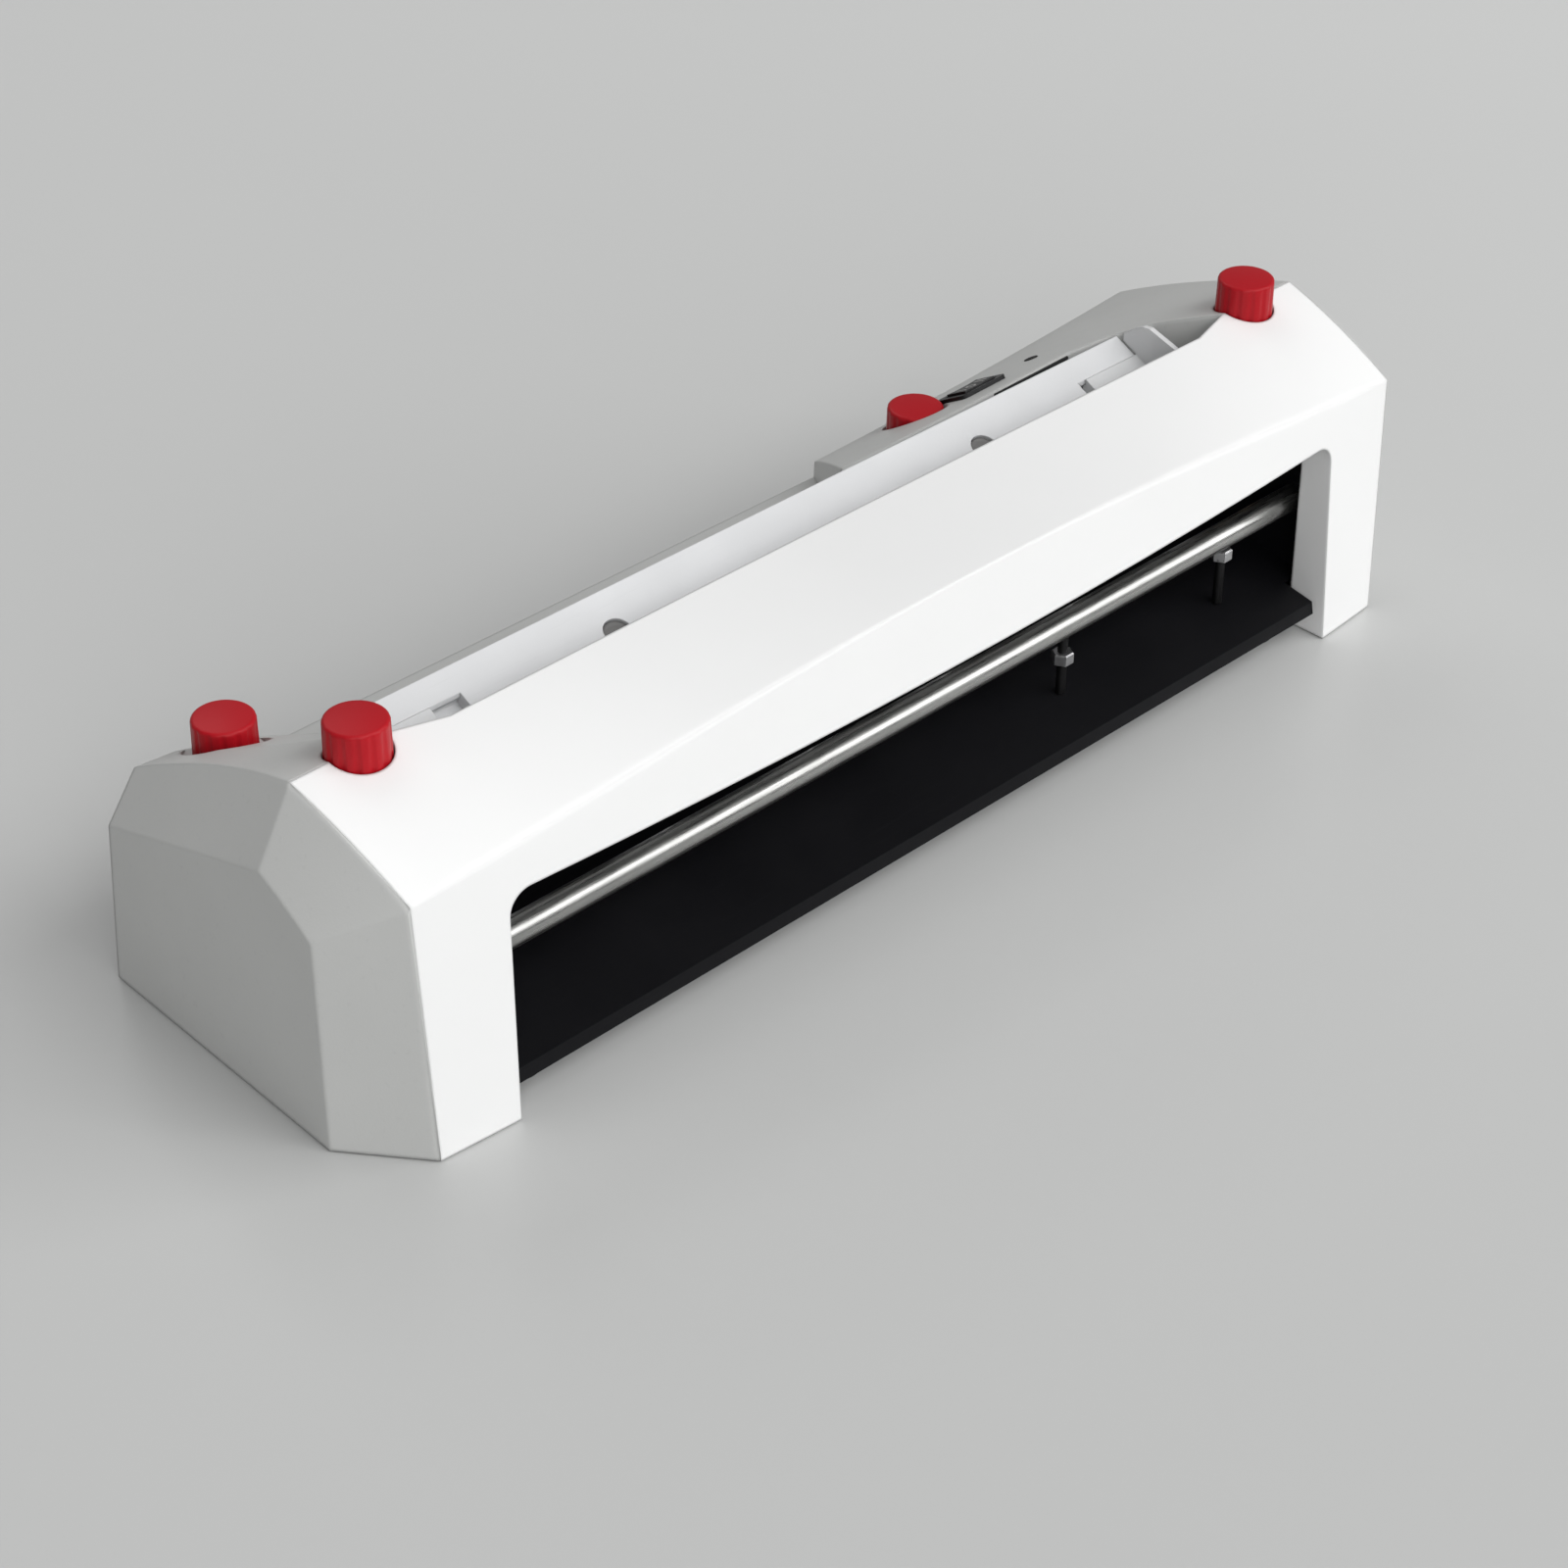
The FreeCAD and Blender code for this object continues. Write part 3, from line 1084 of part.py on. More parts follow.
def left_idlers():
    """Two equal idlers between the lower shafts, on a line parallel to the shafts' own line."""
    dy = REAR_LOWER[0] - FRONT_LOWER[0]
    dz = REAR_LOWER[1] - FRONT_LOWER[1]
    apart = math.hypot(dy, dz)
    outer = MODULE * (PAIR_TEETH + LEFT_IDLER_TEETH) / 2
    inner = MODULE * LEFT_IDLER_TEETH
    along = (apart - inner) / 2
    across = math.sqrt(outer ** 2 - along ** 2)
    places = []
    for step in (along, along + inner):
        places.append(
            (
                FRONT_LOWER[0] + (dy * step + dz * across) / apart,
                FRONT_LOWER[1] + (dz * step - dy * across) / apart,
            )
        )
    return places


LEFT_IDLERS = left_idlers()
FRONT_PHASE = 0.0
DRIVE_PHASE = 0.0
UPPER_PHASE = mesh_phase(PAIR_TEETH, FRONT_PHASE, FRONT_LOWER, PAIR_TEETH, FRONT_UPPER)
MOTOR_IDLER_PHASE = mesh_phase(DRIVE_TEETH, DRIVE_PHASE, FRONT_LOWER, MOTOR_IDLER_TEETH, MOTOR_IDLER)
PINION_PHASE = mesh_phase(MOTOR_IDLER_TEETH, MOTOR_IDLER_PHASE, MOTOR_IDLER, PINION_TEETH, MOTOR_CENTRE)
IDLER_A_PHASE = mesh_phase(PAIR_TEETH, FRONT_PHASE, FRONT_LOWER, LEFT_IDLER_TEETH, LEFT_IDLERS[0])
IDLER_B_PHASE = mesh_phase(
    LEFT_IDLER_TEETH, IDLER_A_PHASE, LEFT_IDLERS[0], LEFT_IDLER_TEETH, LEFT_IDLERS[1]
)
REAR_PHASE = mesh_phase(LEFT_IDLER_TEETH, IDLER_B_PHASE, LEFT_IDLERS[1], PAIR_TEETH, REAR_LOWER)
REAR_UPPER_PHASE = mesh_phase(PAIR_TEETH, REAR_PHASE, REAR_LOWER, PAIR_TEETH, REAR_UPPER)


def front_lower_gears():
    y, z = FRONT_LOWER
    return group(
        [
            gear(PAIR_TEETH, LEFT_GEAR_X, y, z, FRONT_PHASE, SHAFT_RADIUS),
            gear(PAIR_TEETH, PAIR_GEAR_X, y, z, FRONT_PHASE, SHAFT_RADIUS),
            gear(DRIVE_TEETH, DRIVE_GEAR_X, y, z, DRIVE_PHASE, SHAFT_RADIUS),
        ]
    )


def motor_shaft():
    """The motor's output shaft with its pinion."""
    y, z = MOTOR_CENTRE
    pinion = gear(PINION_TEETH, DRIVE_GEAR_X, y, z, PINION_PHASE, MOTOR_SHAFT_RADIUS)
    start = FRAME_INNER_X - 8
    end = DRIVE_GEAR_X + GEAR_WIDE / 2 + SHAFT_END
    return joined([pinion, round_x(start, end, y, z, MOTOR_SHAFT_RADIUS)])


def idler_pins():
    """Pins riveted in the frames, with a retaining disc outside each idler."""
    pins = []
    spots = [(MOTOR_IDLER, 1, DRIVE_GEAR_X)]
    spots += [(centre, -1, LEFT_GEAR_X) for centre in LEFT_IDLERS]
    for (y, z), side, gear_x in spots:
        frame_face = side * (FRAME_X + FRAME_SHEET / 2)
        gear_in = gear_x - side * (GEAR_WIDE / 2 + IDLER_SIDE_GAP)
        gear_out = gear_x + side * (GEAR_WIDE / 2 + IDLER_SIDE_GAP)
        end = gear_out + side * IDLER_DISC
        wide = IDLER_PIN_RADIUS + IDLER_SHOULDER
        pin = round_x(min(frame_face, end), max(frame_face, end), y, z, IDLER_PIN_RADIUS)
        shoulder = round_x(min(frame_face, gear_in), max(frame_face, gear_in), y, z, wide)
        disc = round_x(min(gear_out, end), max(gear_out, end), y, z, wide)
        pins.append(joined([pin, shoulder, disc]))
    return group(pins)


def drive_motor():
    y, z = MOTOR_CENTRE
    face = FRAME_INNER_X
    can = round_x(face - MOTOR_LONG, face - GEARBOX_LONG, y, z, MOTOR_RADIUS - 1)
    gearbox = round_x(face - GEARBOX_LONG, face, y, z, MOTOR_RADIUS)
    end = face - MOTOR_LONG
    boss = round_x(end - 3, end, y, z, 5)
    tags = [block(end - 6, end, y + s - 1.5, y + s + 1.5, z + 7, z + 7.8) for s in (-7, 7)]
    clear = round_x(face - 9, face + 1, y, z, MOTOR_SHAFT_RADIUS + SHAFT_RUN)
    return joined([can, gearbox, boss] + tags).cut(clear)


# ---- adjusters ----------------------------------------------------------------------------
def knob(place):
    x, y, top, gap, bridge_z, shaft, travel = ADJUSTERS[place]
    low = top - KNOB_HIGH
    slim = KNOB_RADIUS - KNOB_DRAFT
    body = Part.makeCone(KNOB_RADIUS, slim, KNOB_HIGH - KNOB_CROWN, Vec(x, y, low))
    rims = [e for e in body.Edges if len(e.Vertexes) == 1 and e.Vertexes[0].Z > top - 2]
    body = body.makeFillet(KNOB_RIM, rims)
    cap_radius = slim - KNOB_RIM
    ball = (cap_radius ** 2 + KNOB_CROWN ** 2) / (2 * KNOB_CROWN)
    dome = Part.makeSphere(ball, Vec(x, y, top - ball)).common(
        round_z(x, y, top - KNOB_CROWN - 0.3, top + 1, cap_radius)
    )
    body = body.fuse(dome)
    flutes = []
    for i in range(KNOB_FLUTES):
        angle = 2 * math.pi * i / KNOB_FLUTES
        reach = KNOB_RADIUS + KNOB_FLUTE_RADIUS - KNOB_FLUTE_DEPTH
        fx = x + reach * math.cos(angle)
        fy = y + reach * math.sin(angle)
        flutes.append(round_z(fx, fy, low - 1, top + 1, KNOB_FLUTE_RADIUS))
    body = body.cut(flutes)
    return body.cut(round_z(x, y, low - 1, top - KNOB_CAP, SCREW_RADIUS))


def adjuster_screw(place):
    """A screw that turns in its bridge, held down by a collar, and carries the knob."""
    x, y, top, gap, bridge_z, shaft, travel = ADJUSTERS[place]
    low = shaft + BLOCK_HALF_HIGH + SCREW_BLOCK_GAP
    collar_top = bridge_z - COLLAR_RUN
    hub_low = bridge_z + BRIDGE_SHEET + COLLAR_RUN
    stem = round_z(x, y, low, top - KNOB_CAP, SCREW_RADIUS)
    collar = round_z(x, y, collar_top - COLLAR_HIGH, collar_top, COLLAR_RADIUS)
    hub = round_z(x, y, hub_low, hub_low + HUB_HIGH, COLLAR_RADIUS)
    return joined([stem, collar, hub])


def nut_low_z(place):
    x, y, top, gap, bridge_z, shaft, travel = ADJUSTERS[place]
    return bridge_z - COLLAR_RUN - COLLAR_HIGH - NUT_GAP - travel - NUT_HIGH


def pressure_nut(place):
    """A nut that the frame's slot keeps from turning, so the screw moves it up and down."""
    x, y, top, gap, bridge_z, shaft, travel = ADJUSTERS[place]
    low = nut_low_z(place)
    width = FRAME_SLOT / 2 - BLOCK_RUN
    body = block(x - NUT_WIDE / 2, x + NUT_WIDE / 2, y - width, y + width, low, low + NUT_HIGH)
    return body.cut(round_z(x, y, low - 1, low + NUT_HIGH + 1, SCREW_RADIUS + SCREW_RUN))


def pressure_spring(place):
    """A stack of disc springs between the bearing block and the nut, cone against cone."""
    x, y, top, gap, bridge_z, shaft, travel = ADJUSTERS[place]
    low = shaft + BLOCK_HALF_HIGH
    high = nut_low_z(place)
    discs = 2 * max(1, round((high - low) / (2 * DISC_STEP)))
    inner = []
    outer = []
    for i in range(discs + 1):
        middle = DISC_OUTER if i % 2 else DISC_INNER
        z = low + (high - low) * i / discs
        inner.append(Vec(x + middle - DISC_SHEET / 2, y, z))
        outer.append(Vec(x + middle + DISC_SHEET / 2, y, z))
    outline = inner + outer[::-1]
    profile = Part.Face(Part.makePolygon(outline + outline[:1]))
    return profile.revolve(Vec(x, y, 0), Vec(0, 0, 1), 360)


# ---- feed plate and paper guides ----------------------------------------------------------
def plate_z(y):
    return PLATE_TOP_Z - PLATE_SLOPE * (PLATE_TOP_Y - y)


def roller_back_y():
    return FRONT_SHAFT_Y + BLADE_RADIUS + PLATE_ROLLER_GAP


def sloped_band(y0, y1, over, under):
    """An outline from y0 to y1 between two heights measured from the plate's top surface."""
    upper = [(y0, plate_z(y0) + over), (y1, plate_z(y1) + over)]
    return upper + [(y1, plate_z(y1) + under), (y0, plate_z(y0) + under)]


def slot_ends(side, past_end):
    """X range of a guide slot, which is open at the plate's end."""
    if side < 0:
        return PLATE_LEFT_X - past_end, LEFT_SLOT_X
    return RIGHT_SLOT_X, PLATE_RIGHT_X + past_end


def slot_rail(side):
    """A channel under a guide slot; the guide's keeper slides in it."""
    x0, x1 = slot_ends(side, 0)
    if side < 0:
        x1 += GUIDE_RAIL
    else:
        x0 -= GUIDE_RAIL
    front = GUIDE_SLOT_FRONT_Y - GUIDE_KEEPER - GUIDE_RUN
    back = GUIDE_SLOT_BACK_Y + GUIDE_KEEPER + GUIDE_RUN
    floor = -PLATE_RISE - GUIDE_RAIL_DEPTH
    room = section_prism(sloped_band(front, back, 1 - PLATE_RISE, floor), x0 - 30, x1 + 30)
    outside = sloped_band(front - GUIDE_RAIL, back + GUIDE_RAIL, -PLATE_RISE, floor - GUIDE_RAIL)
    channel = section_prism(outside, x0, x1).cut(room)
    end = x1 - GUIDE_RAIL if side < 0 else x0
    stop = section_prism(sloped_band(front, back, -PLATE_RISE, floor), end, end + GUIDE_RAIL)
    return channel.fuse(stop)


def feed_plate():
    """A folded sheet: lip behind the rollers, slope up to the top edge, and a rear flange."""
    bend_z = plate_z(PLATE_BEND_Y)
    lip_y = roller_back_y()
    points = [
        (lip_y, PLATE_LIP_Z),
        (lip_y, FRONT_UPPER_Z + 2),
        (PLATE_BEND_Y, bend_z),
        (PLATE_TOP_Y, PLATE_TOP_Z),
        (PLATE_BACK_Y, PLATE_BACK_Z),
    ]
    upper = folded_sheet(points, PLATE_SHEET, PLATE_LEFT_X, PLATE_RIGHT_X)
    lower = folded_sheet(points[:2], PLATE_SHEET, -FRAME_INNER_X, FRAME_INNER_X)
    plate = upper.fuse(lower)
    cuts = [block(PLATE_FLANGE_X, FAR, PLATE_TOP_Y + PLATE_SHEET / 2, FAR, 0, HIGH)]
    for side in (-1, 1):
        middle = Vec(side * PLATE_HOLE_X, PLATE_HOLE_Y, plate_z(PLATE_HOLE_Y))
        normal = Vec(0, -PLATE_SLOPE, 1)
        normal.normalize()
        cuts.append(Part.makeCylinder(PLATE_HOLE_RADIUS, 20, middle - normal * 10, normal))
        slot = sloped_band(GUIDE_SLOT_FRONT_Y, GUIDE_SLOT_BACK_Y, 3, -4)
        cuts.append(section_prism(slot, *slot_ends(side, 5)))
    return joined([plate.cut(cuts)] + [slot_rail(side) for side in (-1, 1)])


def paper_guide(side):
    """A foot that slides in the plate's slot, with a wall at its outer end for the paper's edge."""
    face_x = LEFT_GUIDE_X if side < 0 else RIGHT_GUIDE_X
    foot_in = face_x - side * GUIDE_FOOT
    front = GUIDE_SLOT_FRONT_Y + GUIDE_RUN
    back = GUIDE_SLOT_BACK_Y - GUIDE_RUN
    under = -PLATE_RISE - GUIDE_RUN
    foot_band = sloped_band(front, back, GUIDE_FOOT_PROUD, under - 0.1)
    foot = section_prism(foot_band, *sorted((foot_in, face_x + side * GUIDE_WALL)))
    keeper_low = -PLATE_RISE - GUIDE_RAIL_DEPTH + GUIDE_RUN
    keeper_band = sloped_band(front - GUIDE_KEEPER, back + GUIDE_KEEPER, under, keeper_low)
    keeper = section_prism(keeper_band, *sorted((foot_in, face_x)))
    w0, w1 = sorted((face_x, face_x + side * GUIDE_WALL))
    wall = [
        (GUIDE_FRONT_Y, GUIDE_LOW_Z),
        (GUIDE_FRONT_Y, GUIDE_TOP_Z - 5.0),
        (GUIDE_BACK_Y - 9.8, GUIDE_TOP_Z),
        (GUIDE_BACK_Y - 7.0, GUIDE_TOP_Z - 0.3),
        (GUIDE_BACK_Y - 4.5, GUIDE_TOP_Z - 1.6),
        (GUIDE_BACK_Y, plate_z(GUIDE_BACK_Y) + 3.0),
        (GUIDE_BACK_Y, plate_z(GUIDE_BACK_Y) + GUIDE_RUN),
        (PLATE_BEND_Y - GUIDE_RUN, plate_z(PLATE_BEND_Y) + GUIDE_RUN),
        (PLATE_BEND_Y - GUIDE_RUN, GUIDE_LOW_Z),
    ]
    fin = section_prism(wall, w0, w1)
    return joined([foot, keeper, fin])


# ---- rod, chutes, posts -------------------------------------------------------------------
def cross_rod():
    return round_x(-FRAME_INNER_X, FRAME_INNER_X, ROD_Y, ROD_Z, ROD_RADIUS)


def chute_z(y):
    return CHUTE_LIP_Z + CHUTE_SLOPE * (y - CHUTE_LIP_Y)


def exit_chute():
    """A black sheet that slopes down to a turned lip just inside the opening."""
    lip = (CHUTE_LIP_Y - 0.8, CHUTE_LIP_Z - CHUTE_LIP_FALL)
    wide_y = OPENING_FLANGE_BACK_Y + 1.5
    front = folded_sheet(
        [lip, (CHUTE_LIP_Y, CHUTE_LIP_Z), (wide_y + 1, chute_z(wide_y + 1))],
        CHUTE_SHEET,
        -CHUTE_HALF,
        CHUTE_HALF,
    )
    back = folded_sheet(
        [(wide_y, chute_z(wide_y)), (CHUTE_BACK_Y, chute_z(CHUTE_BACK_Y))],
        CHUTE_SHEET,
        -FRAME_INNER_X,
        FRAME_INNER_X,
    )
    return joined([front, back])


def hexagon(x, y, z0, z1, radius):
    """A six-sided prism about Z; radius reaches to its corners."""
    angles = [math.pi / 3 * i for i in range(6)]
    return plan_prism([(x + radius * math.cos(a), y + radius * math.sin(a)) for a in angles], z0, z1)


def rod_posts():
    """Slim posts with hexagon nuts between the chute and the rod."""
    posts = []
    for x, nut_z in zip(POST_X, POST_NUT_Z):
        pin = round_z(x, ROD_Y, chute_z(ROD_Y + POST_RADIUS), ROD_Z - ROD_RADIUS, POST_RADIUS)
        nut = hexagon(x, ROD_Y, nut_z, nut_z + POST_NUT_HIGH, POST_NUT_RADIUS)
        posts.append(joined([pin, nut]))
    return group(posts)


def rear_exit_guide():
    """A folded sheet on the base plate, whose lip reaches into the rear exit."""
    first, second = boss_places()["rear_cover"]
    x0 = first[0] + BOSS_RADIUS + 1
    x1 = second[0] - BOSS_RADIUS - 1
    wall_y = FRAME_REAR_Y + 0.4
    top = REAR_EXIT_LOW_Z + EXIT_GUIDE_TOP
    foot = block(x0, x1, wall_y - 4, wall_y, BASE_TOP_Z, BASE_TOP_Z + CHUTE_SHEET)
    wall = block(x0, x1, wall_y, wall_y + CHUTE_SHEET, BASE_TOP_Z, top)
    lip = block(x0, x1, wall_y, REAR_Y - 3, top - CHUTE_SHEET, top)
    return joined([foot, wall, lip])


# ---- switch, socket, board ----------------------------------------------------------------
def switch_bezel():
    """A black frame on the housing, with a box under it for the rocker."""
    grow = BEZEL_LIP
    flange = block(
        -SWITCH_LONG / 2 - grow,
        SWITCH_LONG / 2 + grow,
        -SWITCH_DEEP / 2 - grow,
        SWITCH_DEEP / 2 + grow,
        0,
        BEZEL_THICK,
    )
    corners = [e for e in flange.Edges if abs(e.Vertexes[0].Z - e.Vertexes[-1].Z) > BEZEL_THICK / 2]
    flange = flange.makeFillet(2.0, corners)
    half_x = SWITCH_LONG / 2 - BEZEL_RUN
    half_y = SWITCH_DEEP / 2 - BEZEL_RUN
    low = -BEZEL_CASE_DEEP
    wall = BEZEL_WALL
    case = block(-half_x, half_x, -half_y, half_y, low, BEZEL_THICK)
    pocket = block(wall - half_x, half_x - wall, wall - half_y, half_y - wall, -BEZEL_POCKET_DEEP, 10)
    bore = round_y(0, -half_y - 1, half_y + 1, ROCKER_PIVOT_Z, ROCKER_PIN_RADIUS + ROCKER_PIN_RUN)
    pins = [block(s - 0.4, s + 0.4, -2.4, 2.4, low - 6, low) for s in (-5, 0, 5)]
    shape = joined([flange, case] + pins).cut([pocket, bore])
    return on_switch_slope(shape.removeSplitter())


def rocker_switch():
    """A three-position rocker with two shallow wings, on a pin in the walls of its bezel."""
    half_x = SWITCH_LONG / 2 - BEZEL_RUN - BEZEL_WALL - ROCKER_END_GAP
    half_y = SWITCH_DEEP / 2 - BEZEL_RUN - BEZEL_WALL - ROCKER_SIDE_GAP
    outline = [
        (-half_x, ROCKER_PIVOT_Z - 1),
        (-half_x, BEZEL_THICK + ROCKER_WING_PROUD),
        (0, BEZEL_THICK + ROCKER_PROUD),
        (half_x, BEZEL_THICK + ROCKER_WING_PROUD),
        (half_x, ROCKER_PIVOT_Z - 1),
        (0, -4.5),
    ]
    corners = [Vec(x, -half_y, z) for x, z in outline]
    body = Part.Face(Part.makePolygon(corners + corners[:1])).extrude(Vec(0, 2 * half_y, 0))
    pin_half = SWITCH_DEEP / 2 - 1.5 * BEZEL_RUN
    pin = round_y(0, -pin_half, pin_half, ROCKER_PIVOT_Z, ROCKER_PIN_RADIUS)
    return on_switch_slope(body.fuse(pin))


def power_socket():
    """A two-pin inlet, square to the leaning rear wall."""
    face = socket_face_y() + SOCKET_PROUD
    half = SOCKET_LONG / 2
    tall = SOCKET_TALL / 2
    low = SOCKET_Z - tall
    high = SOCKET_Z + tall
    flange = block(-half - 3, half + 3, socket_face_y(), face, low - 2, high + 2)
    run = SOCKET_RUN
    body = block(run - half, half - run, face - SOCKET_DEEP, face, low + run, high - run)
    pocket = block(-10, 10, face - SOCKET_DEEP + 2.5, face + 5, SOCKET_Z - 5.5, SOCKET_Z + 5.5)
    shape = joined([flange, body]).cut(pocket)
    pins = [round_y(s, face - SOCKET_DEEP + 1, face - 3, SOCKET_Z, 1.2) for s in (-6.5, 6.5)]
    shape = joined([shape] + pins)
    shape.rotate(Vec(0, socket_face_y(), SOCKET_Z), Vec(1, 0, 0), math.degrees(math.atan(REAR_LEAN)))
    shape.translate(Vec(SOCKET_X, 0, 0))
    return shape


def control_board():
    board = block(BOARD_X0, BOARD_X1, BOARD_Y, BOARD_Y + BOARD_SHEET, BASE_TOP_Z, BOARD_TOP_Z)
    middle_z = (BASE_TOP_Z + BOARD_TOP_Z) / 2
    relay_x = BOARD_X0 + BOARD_LONG / 4
    capacitor_x = BOARD_X0 + 0.6 * BOARD_LONG
    terminal_x = BOARD_X1 - BOARD_LONG / 6
    relay = block(relay_x - 8, relay_x + 8, BOARD_Y - 5, BOARD_Y, middle_z - 6, middle_z + 6)
    capacitor = round_y(capacitor_x, BOARD_Y - 6, BOARD_Y, middle_z, 5)
    terminal = block(terminal_x - 6, terminal_x + 6, BOARD_Y - 6, BOARD_Y, middle_z - 9, middle_z - 1)
    return joined([board, relay, capacitor, terminal])


# ---- all nodes ----------------------------------------------------------------------------
def shaft_ends():
    """name: x from, x to, centre"""
    left = LEFT_GEAR_X - GEAR_WIDE / 2 - SHAFT_END
    drive = DRIVE_GEAR_X + GEAR_WIDE / 2 + SHAFT_END
    pair = PAIR_GEAR_X + GEAR_WIDE / 2 + 0.5
    middle = MID_FRAME_X + BLOCK_WIDE / 2 + 1
    return {
        "front_lower_shaft": (left, drive, FRONT_LOWER),
        "front_upper_shaft": (-FRAME_X - BLOCK_WIDE / 2 - 1, pair, FRONT_UPPER),
        "rear_lower_shaft": (left, middle, REAR_LOWER),
        "rear_upper_shaft": (left, middle, REAR_UPPER),
    }


def all_nodes():
    nodes = {
        "front_cover": front_cover(),
        "left_end_cover": left_end_cover(),
        "right_end_cover": right_end_cover(),
        "rear_cover": rear_cover(),
        "base_plate": base_plate(),
        "left_side_frame": side_frame(-1),
        "right_side_frame": side_frame(1),
        "middle_frame": middle_frame(),
        "rubber_feet": rubber_feet(),
        "case_screws": case_screws(),
        "feed_plate": feed_plate(),
        "left_paper_guide": paper_guide(-1),
        "right_paper_guide": paper_guide(1),
        "cross_rod": cross_rod(),
        "rod_posts": rod_posts(),
        "exit_chute": exit_chute(),
        "rear_exit_guide": rear_exit_guide(),
        "shaft_bearings": shaft_bearings(),
        "front_lower_gears": front_lower_gears(),
        "front_upper_gear": gear(PAIR_TEETH, PAIR_GEAR_X, *FRONT_UPPER, UPPER_PHASE, SHAFT_RADIUS),
        "rear_lower_gear": gear(PAIR_TEETH, LEFT_GEAR_X, *REAR_LOWER, REAR_PHASE, SHAFT_RADIUS),
        "rear_upper_gear": gear(PAIR_TEETH, LEFT_GEAR_X, *REAR_UPPER, REAR_UPPER_PHASE, SHAFT_RADIUS),
        "motor_shaft": motor_shaft(),
        "drive_motor": drive_motor(),
        "idler_pins": idler_pins(),
        "switch_bezel": switch_bezel(),
        "rocker_switch": rocker_switch(),
        "power_socket": power_socket(),
        "control_board": control_board(),
    }
    idler_bore = IDLER_PIN_RADIUS + SHAFT_RUN
    nodes["motor_idler"] = gear(
        MOTOR_IDLER_TEETH, DRIVE_GEAR_X, *MOTOR_IDLER, MOTOR_IDLER_PHASE, idler_bore
    )
    nodes["left_idler_front"] = gear(
        LEFT_IDLER_TEETH, LEFT_GEAR_X, *LEFT_IDLERS[0], IDLER_A_PHASE, idler_bore
    )
    nodes["left_idler_rear"] = gear(
        LEFT_IDLER_TEETH, LEFT_GEAR_X, *LEFT_IDLERS[1], IDLER_B_PHASE, idler_bore
    )
    for name, (x0, x1, (y, z)) in shaft_ends().items():
        nodes[name] = round_x(x0, x1, y, z, SHAFT_RADIUS)
    pairs = {
        "front_lower": (front_blade_places(), FRONT_LOWER, False),
        "front_upper": (front_blade_places(), FRONT_UPPER, True),
        "rear_lower": (rear_blade_places(), REAR_LOWER, False),
        "rear_upper": (rear_blade_places(), REAR_UPPER, True),
    }
    for name, (places, (y, z), upper) in pairs.items():
        nodes[name + "_blades"] = blade_set(places, y, z, upper)
        nodes[name + "_rollers"] = roller_set(places, y, z)
    for place in ADJUSTERS:
        nodes[place + "_knob"] = knob(place)
        nodes[place + "_screw"] = adjuster_screw(place)
        nodes[place + "_nut"] = pressure_nut(place)
        nodes[place + "_spring"] = pressure_spring(place)
    return nodes


os.makedirs("parts", exist_ok=True)
for node_name, node_shape in all_nodes().items():
    node_shape.translate(Vec(0, -ORIGIN_Y, 0))
    node_shape.exportStep("parts/" + node_name + ".step")
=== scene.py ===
import json
import math

import bmesh
import bpy
from mathutils import Matrix, Vector


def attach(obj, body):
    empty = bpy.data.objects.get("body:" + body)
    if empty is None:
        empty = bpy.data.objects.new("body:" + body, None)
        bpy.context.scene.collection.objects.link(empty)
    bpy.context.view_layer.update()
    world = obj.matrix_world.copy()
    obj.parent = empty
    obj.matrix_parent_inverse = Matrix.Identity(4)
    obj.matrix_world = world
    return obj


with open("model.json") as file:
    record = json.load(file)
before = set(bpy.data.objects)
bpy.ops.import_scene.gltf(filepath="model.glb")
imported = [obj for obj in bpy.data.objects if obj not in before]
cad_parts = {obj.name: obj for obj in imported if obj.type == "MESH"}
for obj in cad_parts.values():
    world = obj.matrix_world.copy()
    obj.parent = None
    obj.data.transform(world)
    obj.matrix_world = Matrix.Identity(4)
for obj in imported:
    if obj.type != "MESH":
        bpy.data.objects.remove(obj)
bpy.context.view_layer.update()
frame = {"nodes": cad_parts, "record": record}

# An electric business card cutter. Metres; -Y is the front, +Z is up.

# ---- camera --------------------------------------------------------------------------------
CAMERA_PLACE = (-0.6005, -0.5865, 0.5805)
CAMERA_YAW = math.radians(-45.1)
CAMERA_PITCH = math.radians(34.87)
CAMERA_ROLL = math.radians(0.63)
CAMERA_NEAREST = 0.01
FOCAL_PX = 3587.23
IMAGE_PX = 1600
SENSOR_MM = 36.0


def add_camera():
    back = Vector(
        (
            math.sin(CAMERA_YAW) * math.cos(CAMERA_PITCH),
            -math.cos(CAMERA_YAW) * math.cos(CAMERA_PITCH),
            math.sin(CAMERA_PITCH),
        )
    )
    right = (-back).cross(Vector((0, 0, 1))).normalized()
    up = back.cross(right)
    across = right * math.cos(CAMERA_ROLL) + up * math.sin(CAMERA_ROLL)
    upright = up * math.cos(CAMERA_ROLL) - right * math.sin(CAMERA_ROLL)
    turn = Matrix((across, upright, back)).transposed().to_4x4()
    data = bpy.data.cameras.new("camera")
    data.sensor_width = SENSOR_MM
    data.lens = SENSOR_MM * FOCAL_PX / IMAGE_PX
    data.clip_start = CAMERA_NEAREST
    camera = bpy.data.objects.new("camera", data)
    camera.matrix_world = Matrix.Translation(CAMERA_PLACE) @ turn
    bpy.context.scene.collection.objects.link(camera)
    bpy.context.scene.camera = camera


add_camera()


